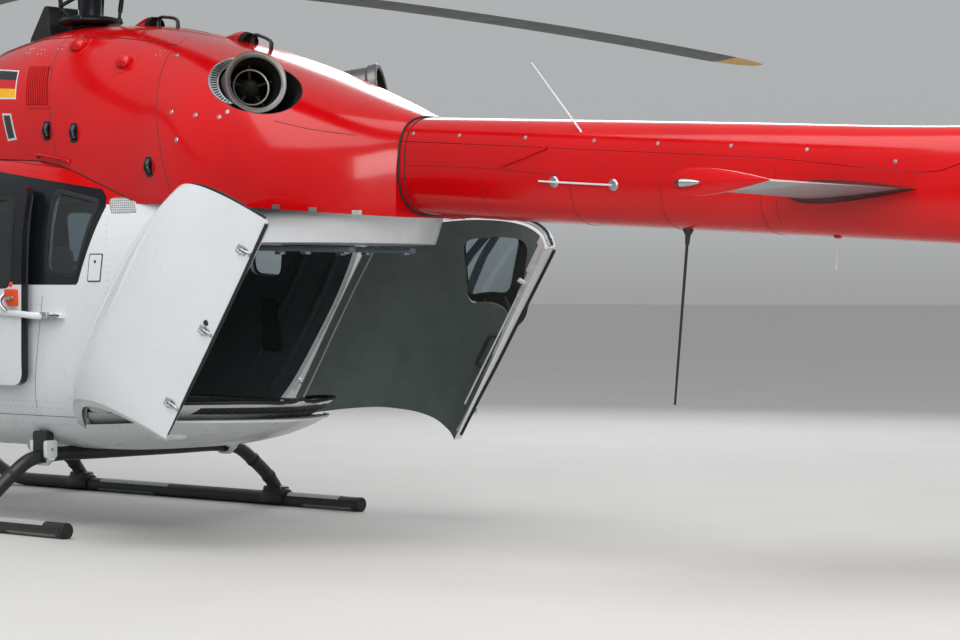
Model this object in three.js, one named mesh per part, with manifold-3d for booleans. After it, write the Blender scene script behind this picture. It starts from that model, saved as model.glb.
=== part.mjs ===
// Light twin-engine rescue helicopter: four main blades, a shrouded tail rotor, skids and two rear clamshell doors.
// Millimetres, +X forward, +Y left, +Z up, ground at z = 0. The tables below measure x from the main rotor's axis,
// and the whole group is then moved so that the origin lies on the ground under the middle of the overall size.
import * as THREE from 'three';
import { mergeVertices } from 'three/addons/utils/BufferGeometryUtils.js';
import Module from 'manifold-3d';

const wasm = await Module();
wasm.setup();

// Driving dimensions
const ROTOR_X = 1388;             // the rotor axis, ahead of the origin
const ROTOR_RADIUS = 5500;
const ROTOR_HEIGHT = 3338;
const ROTOR_DROOP = 275;          // how far a blade's tip hangs at rest
const ROTOR_PHASE = 77.1;         // direction of the first blade, in degrees from +X
const BLADE_COUNT = 4;
const BLADE_CHORD = 320;
const BLADE_ROOT = 400;
const ARM_REACH = BLADE_ROOT - 0.4;
const MAST_RADIUS = 70;

const WALL = 40;                  // cabin sides, roof, belly and doors
const COWL_WALL = 30;
const EXHAUST_RADIUS = 176;
const EXHAUST_MOUTH = [-1975, 520, 2548];
const EXHAUST_AIM = [-0.84, 0.52, 0.16];
const PIPE_LENGTH = 520;
const ENGINE = { x: [-1500, -620], y: 310, half: 190, z: [1900, 2560] };
const GEARBOX = { half: [330, 280], z: [1900, 2780] };
const TAIL_WALL = 14;
const GLASS_THICKNESS = 8;
const GLASS_INSET = 6;
const SEAT_GAP = 0.3;             // between pieces that touch
const DOOR_GAP = 6;               // round a door that moves
const FLOOR_TOP = 720;
const FLOOR_THICKNESS = 38;
const BELLY_TOP = 652;            // joint between the belly and the cabin sides
const HALF_SIDES = [['left', 1], ['right', -1]];

const HINGE_HEIGHT = 650;         // the height where the lean of the rear sections is measured from
const REAR_LEAN = 0.714;          // how far the clamshell doors' edges lean aft for each millimetre of height
const HINGE_INWARD = 0.083;
const HINGE_X = -817;
const HINGE_Y = 900;
const OPEN_ANGLE = { left: 68.2, right: 45.8 };

const SKID_Y = 1202;
const SKID_RADIUS = 45;
const SKID_TIP = -1178;
const SKID_BEND = 2050;
const CROSS_FRONT = 1461;
const CROSS_REAR = -432;
const CROSS_RADIUS = 42;
const CROSS_PATH = [[1202, 102], [1128, 192], [985, 306], [850, 390], [700, 414], [300, 416]];   // y, z; left half
const SKID_TOE = [[120, 12], [290, 70], [470, 190]];                   // past the bend, and above the straight tube
const SADDLE = { half: [90, 52], low: 30, rise: 22 };
const BRACKET = { y: 745, half: [60, 35], z: [370, 560] };

const DUCT_X = -7350;
const DUCT_Z = 2190;
const DUCT_RADIUS = 585;
const SHROUD_RADIUS = 790;
const SHROUD_HALF_WIDTH = 170;
const SHROUD_EDGE = 90;           // bevel round the shroud
const SHROUD_SIDES = 24;
const FAN_RADIUS = 570;
const FAN_BLADES = 10;
const VANES = 9;
const FAN_Y = 80;                 // middle of the fan, left of the centre plane
const FAN_HUB = 62;               // from there to the fixed hub that carries it
const VANE_Y = -50;

const STABILISER_HALF_SPAN = 1420;
const STABILISER_Z = 1878;

// Lower edge of the driveshaft cover on the boom, seen from the side
const COVER_LINE = [[-2800, 2208], [-5240, 2046], [-5711, 1989], [-6016, 1957], [-6144, 1963], [-6250, 1997],
  [-6330, 2060], [-6380, 3000], [-2800, 3000]];
const WHIPS = [
  ['antenna_upper', [-4120, 175, 2090], [-3720, 230, 2585], 7, 'white'],
  ['antenna_lower', [-4602, 50, 1740], [-4522, 50, 818], 8, 'black'],
];

// Cockpit outlines (x, z), and half widths
const SEAT = {
  y: 390,
  shellHalf: 235,
  cushionHalf: 225,
  legsHalf: 160,
  legs: [1520, 1860, 945],
  shell: [[1930, 990], [1500, 950], [1290, 1620], [1250, 1610], [1440, 905], [1940, 930]],
  cushion: [[1925, 990.2], [1925, 1080], [1500, 1050], [1503, 950.9]],
  back: [[1460, 1081], [1560, 1090], [1385, 1700], [1275, 1690], [1290.7, 1620]],
};
const PANEL = {
  hoodHalf: 470,
  hood: [[2900, 1080], [2900, 1240], [2560, 1390], [2420, 1360], [2470, 1060]],
  plinthHalf: 150,
  plinth: [2480, 2590, 1100],
  consoleHalf: 110,
  console: [[2470, 710], [2460, 1000], [1990, 960], [1990, 710]],
};

const SLIDING_DOOR_AFT = 580;     // how far the left sliding door stands aft of its closed place
const SLIDING_DOOR_OUT = 88;
const DOOR_RAIL = [[-760, 840, 1224], [95, 889, 1256]];                // on the cabin's left side
const DOOR_ROLLER = [[130, 801.3, 1222], [190, 840, 1258]];            // on the left door, before it is moved aft

const KNUCKLE = { radius: 14, length: 45, arm: 9 };
const COCKPIT_HINGE = { x: 2600, y: 785, heights: [790, 920] };
const CLAMSHELL_HINGES = [[800, 832], [1720, 748]];                    // height and the middle of the wall there

const rows = (columns, table) => table.map((row) => Object.fromEntries(columns.map((name, i) => [name, row[i]])));

// Fuselage sections: x at the lean's zero height, the lean, lowest point, widest height, highest point, half width,
// and the roundness of the upper and the lower half, where 2 is an ellipse and more is squarer.
const sectionColumns = ['x', 'lean', 'low', 'waist', 'high', 'half', 'top', 'bottom'];

const cabinRows = [
  [3550, 0, 890, 985, 1080, 110, 2.0, 2.0],
  [3500, 0, 790, 985, 1190, 270, 2.1, 2.1],
  [3360, 0, 670, 1000, 1350, 470, 2.2, 2.3],
  [3050, 0, 555, 1040, 1600, 650, 2.4, 2.6],
  [2650, 0, 480, 1090, 1850, 760, 2.7, 3.0],
  [2200, 0, 445, 1120, 2060, 820, 3.1, 3.4],
  [1700, 0, 430, 1140, 2200, 848, 3.7, 3.6],
  [1100, 0, 430, 1150, 2270, 855, 4.4, 3.8],
  [-50, 0.15, 430, 1150, 2285, 855, 4.2, 3.8],
  [-420, 0.36, 430, 1130, 2260, 860, 3.1, 3.8],
  [-840, 0.70, 435, 1100, 2205, 866, 2.4, 3.7],
  [-1120, 0.714, 452, 1100, 2170, 850, 2.4, 3.6],
];
const podSections = rows(sectionColumns, [
  ...cabinRows,
  [-1370, 0.725, 492, 1110, 2140, 784, 2.5, 3.2],
  [-1560, 0.735, 545, 1120, 2110, 670, 2.6, 3.0],
  [-1700, 0.745, 600, 1130, 2080, 505, 2.8, 2.8],
  [-1780, 0.75, 638, 1140, 2050, 320, 3.0, 2.8],
  [-1808, 0.755, 655, 1150, 2030, 150, 3.2, 2.8],
]);

// The clamshell doors lap over the rear edge of the belly and over the rear roof, so their sections are fuller.
const doorSections = rows(sectionColumns, [
  ...cabinRows.slice(-5),
  [-1410, 0.714, 475, 1110, 2140, 805, 2.5, 3.4],
  [-1640, 0.716, 510, 1120, 2110, 695, 2.6, 3.2],
  [-1800, 0.718, 550, 1130, 2080, 534, 2.8, 3.2],
  [-1890, 0.72, 585, 1140, 2050, 352, 3.0, 3.0],
  [-1930, 0.72, 610, 1150, 2030, 180, 3.4, 3.0],
  [-1940, 0.72, 625, 1150, 2025, 60, 3.4, 3.0],
]);

const cowlSections = rows(sectionColumns, [
  [1560, 0, 2040, 2150, 2270, 230, 2.2, 4],
  [1300, 0, 2000, 2120, 2470, 440, 2.3, 4],
  [900, 0, 1950, 2080, 2730, 590, 2.4, 4],
  [350, 0, 1900, 2050, 2945, 660, 2.4, 4],
  [-150, 0, 1850, 2045, 3000, 685, 2.4, 4],
  [-650, 0, 1800, 2030, 2978, 700, 2.4, 4],
  [-1200, 0, 1770, 2000, 2886, 735, 2.4, 5],
  [-1640, 0, 1745, 1970, 2768, 785, 2.4, 6],
  [-2050, 0, 1725, 1955, 2634, 745, 2.4, 6],
  [-2450, 0, 1705, 1950, 2487, 600, 2.4, 6],
  [-2680, 0, 1695, 1950, 2403, 440, 2.4, 6],
  [-2820, 0, 1690, 1960, 2353, 290, 2.6, 6],
]);

const boomSections = rows(sectionColumns, [
  [-2820.4, 0, 1812, 2078, 2345, 272, 2.8, 2.8],
  [-3500, 0, 1765, 2038, 2311, 255, 2.7, 2.7],
  [-4900, 0, 1690, 1962, 2240, 225, 2.6, 2.6],
  [-6130, 0, 1624, 1900, 2178, 192, 2.5, 2.5],
  [-6480, 0, 1602, 1885, 2170, 182, 2.4, 2.4],
  [-6900, 0, 1555, 1876, 2206, 174, 2.3, 2.3],
]);

// Fin sections: height, leading edge, trailing edge and thickness
const finColumns = ['z', 'front', 'back', 'thick'];
const finSections = rows(finColumns, [
  [2640, -6900, -7960, 250],
  [3000, -7130, -8020, 200],
  [3450, -7410, -8075, 150],
  [3880, -7680, -8125, 105],
  [3980, -7790, -8138, 50],
]);
const stubSections = rows(finColumns, [
  [1230, -7420, -7930, 50],
  [1330, -7330, -7900, 110],
  [1560, -7130, -7800, 190],
]);

// Stabiliser sections for one side: distance from the centre, leading edge, chord and thickness
const stabiliserSections = rows(['y', 'front', 'chord', 'thick'], [
  [120, -5290, 690, 80],
  [700, -5410, 590, 72],
  [1340, -5536, 466, 66],
  [STABILISER_HALF_SPAN, -5548, 453, 62],
]);

// Blade sections: fraction of the radius, chord, thickness and how far the section's middle is swept back
const bladeSections = rows(['reach', 'chord', 'thick', 'sweep'], [
  [BLADE_ROOT / ROTOR_RADIUS, 120, 96, 0],
  [0.13, 150, 84, 0],
  [0.19, 230, 60, 0],
  [0.26, BLADE_CHORD, 42, 0],
  [0.6, BLADE_CHORD, 38, 0],
  [0.92, BLADE_CHORD, 32, 0],
  [0.975, 240, 24, 34],
  [1, 120, 14, 84],
]);

const paint = {
  red: [0xc4161c, 0.25, 0.1],
  white: [0xe9eaec, 0.3, 0.1],
  black: [0x1b1d20, 0.45, 0.1],
  slate: [0x33383f, 0.4, 0.1],
  grey: [0x7c8288, 0.5, 0.2],
  metal: [0xb9bcc0, 0.35, 0.9],
  glass: [0x9fb4bd, 0.1, 0],
  fabric: [0x3a4250, 0.9, 0],
};

// Turns a closed geometry into a solid that can be joined and cut.
function solidOf(geometry) {
  const bare = geometry.clone();
  bare.deleteAttribute('normal');
  bare.deleteAttribute('uv');
  const merged = mergeVertices(bare, 1e-3);
  const vertProperties = new Float32Array(merged.attributes.position.array);
  const triVerts = new Uint32Array(merged.index.array);
  return new wasm.Manifold(new wasm.Mesh({ numProp: 3, vertProperties, triVerts }));
}

function geometryOf(solid) {
  const { vertProperties, triVerts } = solid.getMesh();
  const geometry = new THREE.BufferGeometry();
  geometry.setAttribute('position', new THREE.BufferAttribute(vertProperties, 3));
  geometry.setIndex(new THREE.BufferAttribute(triVerts, 1));
  geometry.computeVertexNormals();
  return geometry;
}

// A cutter can leave slivers of a neighbouring wall: only the panel itself is kept.
function panelOf(solid) {
  return solid.decompose().reduce((best, piece) => (piece.volume() > best.volume() ? piece : best));
}

function joined(solids) {
  return solids.reduce((whole, next) => whole.add(next));
}

// A closed skin over rings of equally many points, with a fan over each end.
function loftSolid(rings) {
  const count = rings[0].length;
  const points = rings.flat();
  const index = [];
  for (let r = 0; r + 1 < rings.length; r += 1) {
    for (let i = 0; i < count; i += 1) {
      const a = r * count + i;
      const b = r * count + ((i + 1) % count);
      index.push(a, b, a + count, b, b + count, a + count);
    }
  }
  [[0, 1], [rings.length - 1, -1]].forEach(([ring, facing]) => {
    const centre = new THREE.Vector3();
    rings[ring].forEach((point) => centre.add(new THREE.Vector3(...point)));
    points.push(centre.divideScalar(count).toArray());
    for (let i = 0; i < count; i += 1) {
      const a = ring * count + i;
      const b = ring * count + ((i + 1) % count);
      index.push(points.length - 1, facing > 0 ? b : a, facing > 0 ? a : b);
    }
  });
  const turned = signedVolume(points, index) < 0 ? index.reverse() : index;
  const geometry = new THREE.BufferGeometry();
  geometry.setAttribute('position', new THREE.Float32BufferAttribute(points.flat(), 3));
  geometry.setIndex(turned);
  return solidOf(geometry);
}

function signedVolume(points, index) {
  const corner = (k) => new THREE.Vector3(...points[index[k]]);
  let total = 0;
  for (let k = 0; k < index.length; k += 3) {
    total += corner(k).dot(corner(k + 1).cross(corner(k + 2)));
  }
  return total;
}

const signedPower = (value, power) => Math.sign(value) * Math.abs(value) ** power;

// One fuselage section, drawn in by the wall's thickness.
function sectionRing(section, wall, count, middle, halfLength) {
  const squeeze = 1 - wall / halfLength;
  return Array.from({ length: count }, (_, i) => {
    const angle = (i / count) * 2 * Math.PI;
    const upper = Math.sin(angle) >= 0;
    const power = 2 / (upper ? section.top : section.bottom);
    const reach = upper ? section.high - section.waist : section.waist - section.low;
    const y = (section.half - wall) * signedPower(Math.cos(angle), power);
    const z = section.waist + (reach - wall) * signedPower(Math.sin(angle), power);
    const x = section.x - section.lean * (z - HINGE_HEIGHT);
    return [middle + (x - middle) * squeeze, y, z];
  });
}

function bodySolid(sections, wall, count) {
  const middle = (sections[0].x + sections.at(-1).x) / 2;
  const halfLength = (sections[0].x - sections.at(-1).x) / 2;
  const kept = sections.filter((section) => section.half > wall * 1.6);
  return loftSolid(kept.map((section) => sectionRing(section, wall, count, middle, halfLength)));
}

// A lens-shaped ring for a fin, a stabiliser or a blade: place turns a chord fraction and a height into a point.
function airfoilRing(chordPoints, place) {
  const fractions = [0, 0.04, 0.16, 0.4, 0.7, 1];
  const upper = fractions.map((u) => [u, 1]);
  const lower = fractions.slice(1, -1).reverse().map((u) => [u, -1]);
  return [...upper, ...lower].map(([u, side]) => {
    const bulge = 2.6 * (Math.sqrt(u) - u) * (u < 1 ? 1 : 0);
    return place(u * chordPoints.chord, side * bulge * chordPoints.thick * 0.72);
  });
}

// Moves every edge of a convex outline outwards by grow.
function grownOutline(points, grow) {
  const area = points.reduce((sum, [x, y], i) => {
    const [nextX, nextY] = points[(i + 1) % points.length];
    return sum + x * nextY - nextX * y;
  }, 0);
  const facing = Math.sign(area) * grow;
  const edges = points.map(([x, y], i) => {
    const [nextX, nextY] = points[(i + 1) % points.length];
    const length = Math.hypot(nextX - x, nextY - y);
    const along = [(nextX - x) / length, (nextY - y) / length];
    return { x: x + along[1] * facing, y: y - along[0] * facing, along };
  });
  return edges.map((edge, i) => {
    const before = edges[(i + edges.length - 1) % edges.length];
    const cross = before.along[0] * edge.along[1] - before.along[1] * edge.along[0];
    const offset = (edge.x - before.x) * edge.along[1] - (edge.y - before.y) * edge.along[0];
    const t = offset / cross;
    return new THREE.Vector2(before.x + before.along[0] * t, before.y + before.along[1] * t);
  });
}

function outlineShape(points, corner = 0, grow = 0) {
  const moved = grownOutline(points, grow);
  const shape = new THREE.Shape();
  moved.forEach((point, i) => {
    const before = moved[(i + moved.length - 1) % moved.length];
    const after = moved[(i + 1) % moved.length];
    const enter = point.clone().add(before.clone().sub(point).setLength(corner));
    const leave = point.clone().add(after.clone().sub(point).setLength(corner));
    if (i === 0) shape.moveTo(enter.x, enter.y);
    else shape.lineTo(enter.x, enter.y);
    if (corner > 0) shape.quadraticCurveTo(point.x, point.y, leave.x, leave.y);
  });
  shape.closePath();
  return shape;
}

// A prism with a side-view outline (x, z), from y0 to y1.
function sidePrism(points, y0, y1, corner = 0, grow = 0) {
  const shape = outlineShape(points, corner, grow);
  const geometry = new THREE.ExtrudeGeometry(shape, { depth: y1 - y0, bevelEnabled: false, curveSegments: 2 });
  geometry.rotateX(Math.PI / 2);
  geometry.translate(0, y1, 0);
  return solidOf(geometry);
}

// A prism with a plan outline (x, y), from z0 to z1.
function planPrism(points, z0, z1, corner = 0, grow = 0) {
  const shape = outlineShape(points, corner, grow);
  const geometry = new THREE.ExtrudeGeometry(shape, { depth: z1 - z0, bevelEnabled: false, curveSegments: 2 });
  geometry.translate(0, 0, z0);
  return solidOf(geometry);
}

function boxSolid(low, high) {
  const size = high.map((value, i) => value - low[i]);
  const geometry = new THREE.BoxGeometry(...size);
  geometry.translate(...low.map((value, i) => value + size[i] / 2));
  return solidOf(geometry);
}

// A round bar from one point to another.
function rodSolid(from, to, radius, sides = 12, endRadius = radius) {
  const start = new THREE.Vector3(...from);
  const end = new THREE.Vector3(...to);
  const geometry = new THREE.CylinderGeometry(endRadius, radius, start.distanceTo(end), sides);
  const turn = new THREE.Quaternion();
  turn.setFromUnitVectors(new THREE.Vector3(0, 1, 0), end.clone().sub(start).normalize());
  geometry.applyQuaternion(turn);
  geometry.translate(...start.add(end).divideScalar(2).toArray());
  return solidOf(geometry);
}

// A tube that follows points, as one closed bar.
function tubeGeometry(points, radius, sides, steps) {
  const path = new THREE.CatmullRomCurve3(points.map((point) => new THREE.Vector3(...point)), false, 'centripetal');
  const round = new THREE.Shape(Array.from({ length: sides }, (_, i) => {
    const angle = ((i + 0.5) / sides) * 2 * Math.PI;
    return new THREE.Vector2(radius * Math.cos(angle), radius * Math.sin(angle));
  }));
  return new THREE.ExtrudeGeometry(round, { steps, extrudePath: path, bevelEnabled: false });
}

// A turned piece: the profile's radius and height pairs go round the given axis through a point.
function turnedSolid(profile, sides, axis, at) {
  const geometry = new THREE.LatheGeometry(profile.map(([r, h]) => new THREE.Vector2(r, h)), sides);
  const turn = new THREE.Quaternion();
  turn.setFromUnitVectors(new THREE.Vector3(0, 1, 0), new THREE.Vector3(...axis).normalize());
  geometry.applyQuaternion(turn);
  geometry.translate(...at);
  return solidOf(geometry);
}

const helicopter = new THREE.Group();
helicopter.position.x = ROTOR_X;

function place(name, shape, finish, parent = helicopter) {
  const [color, roughness, metalness] = paint[finish];
  const geometry = shape.isBufferGeometry ? shape : geometryOf(shape);
  const mesh = new THREE.Mesh(geometry, new THREE.MeshStandardMaterial({ color, roughness, metalness }));
  mesh.name = name;
  parent.add(mesh);
  return mesh;
}

// Side outlines (x, z), all measured on the closed aircraft
const RING = 24;
const CUT = 1200;                 // any cutter reaches past the widest side
const CENTRE_POST = 32;           // half width of the post between the windscreens
const NOSE_X = 2660;
const REAR_EDGE = -1700;          // where the cabin's shoulders end
const STRIP_LINE = [[REAR_EDGE, 1880], [-2830, 1792]];   // lower edge of the red cowls over the rear opening
const STRIP_BOTTOM = 1655;
const TAIL_END = -3300;           // past the rear end of the cowls
// The joints between the cowls lean aft: each is given by its x at the high and at the low level.
const COWL_JOINTS = { high: 3100, low: 1700, nose: [3000, 3000], front: [-128, -682], rear: [-1053, -1672],
  tail: [-4000, -4000] };
const BELOW = 200;
const ROOF_CUT = [1900, 2400];
const hingeX = (z) => HINGE_X - REAR_LEAN * (z - HINGE_HEIGHT);
const hingeY = (z) => HINGE_Y - HINGE_INWARD * (z - HINGE_HEIGHT);
const CLAM_TOP = [1795, 1745];    // height of the clamshell doors' upper edge at the hinge and at the centre
const CLAM_BOTTOM = BELLY_TOP + DOOR_GAP;
const outlines = {
  noseCone: [[NOSE_X, 0], [3800, 0], [3800, 1215], [3300, 1215], [NOSE_X, 1120]],
  windscreen: [[3620, 1265], [3300, 1265], [2790, 1175], [2420, 1670], [2020, 2060], [2020, 2400], [3620, 2400]],
  chinWindow: [[3230, 950], [2860, 1000], [2750, 700], [2960, 610], [3180, 745]],
  cockpitDoor: [[1370, 745], [2590, 745], [2590, 1060], [2240, 1600], [1890, 1925], [1370, 1990]],
  cockpitGlass: [[1460, 1180], [2470, 1150], [2150, 1580], [1850, 1840], [1460, 1900]],
  slidingDoor: [[110, 830], [1290, 830], [1290, 1995], [110, 2000]],
  slidingGlass: [[210, 1410], [1190, 1410], [1190, 1915], [210, 1925]],
  rearGlass: [[-577, 1968], [-940, 1898], [-845, 1472], [-585, 1490]],
  clamshell: [
    [hingeX(CLAM_BOTTOM) - 24, CLAM_BOTTOM], [hingeX(CLAM_TOP[0]) - 24, CLAM_TOP[0]], [-2800, CLAM_TOP[1]],
    [-2400, CLAM_BOTTOM],
  ],
  clamshellGlass: [[-2160, 1630], [-2570, 1680], [-2430, 1350], [-2110, 1250]],
  // The doors' lower corners dip below the belly's rim as they swing, so the rim is cut down under their path.
  bellyRelief: [[hingeX(BELLY_TOP) - 14, 610], [-1250, 632], [-1500, BELLY_TOP], [-1500, 700],
    [hingeX(BELLY_TOP) - 14, 700]],
  roofGlass: [[1620, 110], [1960, 110], [1960, 460], [1620, 540]],
};
const onSide = (sign, near, far = CUT) => (sign > 0 ? [near, far] : [-far, -near]);

const podOuter = bodySolid(podSections, 0, RING);
const podGrown = bodySolid(podSections, -SEAT_GAP, RING);
const podInner = bodySolid(podSections, WALL, RING);
const podShell = podOuter.subtract(podInner);
const glassShell = bodySolid(podSections, GLASS_INSET, RING).subtract(
  bodySolid(podSections, GLASS_INSET + GLASS_THICKNESS, RING),
);
const doorShell = bodySolid(doorSections, 0, RING).subtract(bodySolid(doorSections, WALL, RING));
const doorGlassShell = bodySolid(doorSections, GLASS_INSET, RING).subtract(
  bodySolid(doorSections, GLASS_INSET + GLASS_THICKNESS, RING),
);

addCabin();
addCowls();
addTail();
addGear();
addCockpit();
addRotor();

function addCabin() {
  const high = [4000, CUT, 3000];
  const rearOpening = sidePrism(
    [[hingeX(0) - 14, 0], [hingeX(CLAM_TOP[0]) - 14, CLAM_TOP[0] + 12], [REAR_EDGE, CLAM_TOP[0] + 12],
      [REAR_EDGE, 3000], [-4000, 3000], [-4000, 0]],
    -CUT, CUT,
  );
  const aboveBelly = boxSolid([-4000, -CUT, BELLY_TOP + SEAT_GAP], high);
  const noseZone = sidePrism(outlines.noseCone, -CUT, CUT, 0, SEAT_GAP);
  let frame = podShell.intersect(aboveBelly).subtract(noseZone).subtract(rearOpening);
  let nose = podShell.intersect(sidePrism(outlines.noseCone, -CUT, CUT));
  const belly = podShell
    .intersect(boxSolid([-4000, -CUT, 0], [NOSE_X - SEAT_GAP, CUT, BELLY_TOP]))
    .subtract(sidePrism(outlines.bellyRelief, -CUT, CUT));

  HALF_SIDES.forEach(([side, sign]) => {
    const post = onSide(sign, CENTRE_POST);
    const out = onSide(sign, 100);
    const windscreen = sidePrism(outlines.windscreen, ...post, 0, SEAT_GAP);
    const chin = sidePrism(outlines.chinWindow, ...out, 50, SEAT_GAP);
    const rear = sidePrism(outlines.rearGlass, ...out, 60, SEAT_GAP);
    const roof = planPrism(mirroredPoints(outlines.roofGlass, sign), ...ROOF_CUT, 40, SEAT_GAP);
    const cockpit = sidePrism(outlines.cockpitDoor, ...out, 70, DOOR_GAP);
    const sliding = sidePrism(outlines.slidingDoor, ...out, 90, side === 'left' ? DOOR_GAP : SEAT_GAP);
    frame = [windscreen, rear, roof, cockpit, sliding].reduce((left, cutter) => left.subtract(cutter), frame);
    frame = joined([frame, ...cockpitHinges(sign, -1), ...clamshellHinges(sign, -1)]);
    nose = nose.subtract(chin);

    const pane = (name, outline, corner, range) => {
      place(name, panelOf(glassShell.intersect(sidePrism(outline, ...range, corner))), 'glass');
    };
    pane(`windscreen_${side}`, outlines.windscreen, 0, onSide(sign, CENTRE_POST + SEAT_GAP));
    pane(`chin_window_${side}`, outlines.chinWindow, 50, out);
    pane(`rear_window_${side}`, outlines.rearGlass, 60, out);
    const roofPane = glassShell.intersect(planPrism(mirroredPoints(outlines.roofGlass, sign), ...ROOF_CUT, 40));
    place(`roof_window_${side}`, panelOf(roofPane), 'glass');
    addCockpitDoor(side, sign, out);
    addSlidingDoor(side, sign, out);
    addClamshell(side, sign);
  });
  place('cabin_frame', panelOf(frame.add(boxSolid(...DOOR_RAIL))), 'white');
  place('nose_cone', panelOf(nose), 'white');
  place('belly', panelOf(belly), 'white');
  const floorLayer = (x0, x1) => boxSolid([x0, -CUT, FLOOR_TOP - FLOOR_THICKNESS], [x1, CUT, FLOOR_TOP]);
  const split = hingeX(0);
  const front = bodySolid(podSections, WALL + SEAT_GAP, RING).intersect(floorLayer(split + 20, NOSE_X - 60));
  const rear = bodySolid(podSections, WALL + DOOR_GAP, RING).intersect(floorLayer(-3000, split + 40));
  place('floor', panelOf(front.add(rear)), 'grey');
}

function mirroredPoints(points, sign) {
  return points.map(([x, y]) => [x, y * sign]);
}

function addCockpitDoor(side, sign, out) {
  const opening = sidePrism(outlines.cockpitGlass, ...out, 70, SEAT_GAP);
  const door = podShell.intersect(sidePrism(outlines.cockpitDoor, ...out, 70)).subtract(opening);
  place(`cockpit_door_${side}`, panelOf(joined([door, ...cockpitHinges(sign, 1)])), 'white');
  const pane = glassShell.intersect(sidePrism(outlines.cockpitGlass, ...out, 70));
  place(`cockpit_glass_${side}`, panelOf(pane), 'glass');
}

// The left sliding door stands a little aft on its rail, as on an aircraft being loaded; the right one is shut.
function addSlidingDoor(side, sign, out) {
  const shifted = new THREE.Group();
  if (side === 'left') shifted.position.set(-SLIDING_DOOR_AFT, SLIDING_DOOR_OUT, 0);
  helicopter.add(shifted);
  const opening = sidePrism(outlines.slidingGlass, ...out, 80, SEAT_GAP);
  let door = podShell.intersect(sidePrism(outlines.slidingDoor, ...out, 90)).subtract(opening);
  if (side === 'left') door = door.add(boxSolid(...DOOR_ROLLER));
  place(`sliding_door_${side}`, panelOf(door), 'white', shifted);
  const pane = glassShell.intersect(sidePrism(outlines.slidingGlass, ...out, 80));
  place(`sliding_glass_${side}`, panelOf(pane), 'glass', shifted);
}

// Half a hinge: a knuckle on the axis and an arm into the wall. Which is 1 on the door and -1 on the frame.
function hingeHalf(centre, axis, which, anchor) {
  const at = (along) => centre.map((value, i) => value + axis[i] * along);
  const [from, to] = which > 0 ? [0, KNUCKLE.length] : [-KNUCKLE.length - SEAT_GAP, -SEAT_GAP];
  return joined([
    rodSolid(at(from), at(to), KNUCKLE.radius, 8),
    rodSolid(at((from + to) / 2), anchor, KNUCKLE.arm, 5),
  ]);
}

function cockpitHinges(sign, which) {
  return COCKPIT_HINGE.heights.map((z) => hingeHalf(
    [COCKPIT_HINGE.x, sign * COCKPIT_HINGE.y, z], [0, 0, 1], which,
    [COCKPIT_HINGE.x + (which > 0 ? -42 : 36), sign * (COCKPIT_HINGE.y - 58), z + which * 20],
  ));
}

function clamshellAxis(sign) {
  return new THREE.Vector3(-REAR_LEAN, -sign * HINGE_INWARD, 1).normalize().toArray();
}

function clamshellHinges(sign, which) {
  return CLAMSHELL_HINGES.map(([z, wallY]) => hingeHalf(
    [hingeX(z), sign * hingeY(z), z], clamshellAxis(sign), which,
    [hingeX(z) + (which > 0 ? -70 : 38), sign * wallY, z + which * 10],
  ));
}

// A clamshell door is cut from the closed tail of the cabin and then swung open about its leaning hinge line.
function addClamshell(side, sign) {
  const range = onSide(sign, DOOR_GAP / 2);
  const swung = new THREE.Group();
  const hinge = new THREE.Vector3(hingeX(HINGE_HEIGHT), sign * hingeY(HINGE_HEIGHT), HINGE_HEIGHT);
  const axis = new THREE.Vector3(...clamshellAxis(sign));
  swung.quaternion.setFromAxisAngle(axis, THREE.MathUtils.degToRad(-sign * OPEN_ANGLE[side]));
  swung.position.copy(hinge);
  helicopter.add(swung);
  const inner = new THREE.Group();
  inner.position.copy(hinge).negate();
  swung.add(inner);
  let door = doorShell.intersect(sidePrism(outlines.clamshell, ...range));
  if (side === 'right') {
    const window = onSide(sign, 90);
    door = door.subtract(sidePrism(outlines.clamshellGlass, ...window, 70, SEAT_GAP));
    const pane = doorGlassShell.intersect(sidePrism(outlines.clamshellGlass, ...window, 70));
    place('clamshell_glass_right', panelOf(pane), 'glass', inner);
  }
  place(`clamshell_${side}`, panelOf(joined([door, ...clamshellHinges(sign, 1)])), 'white', inner);
}

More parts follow.
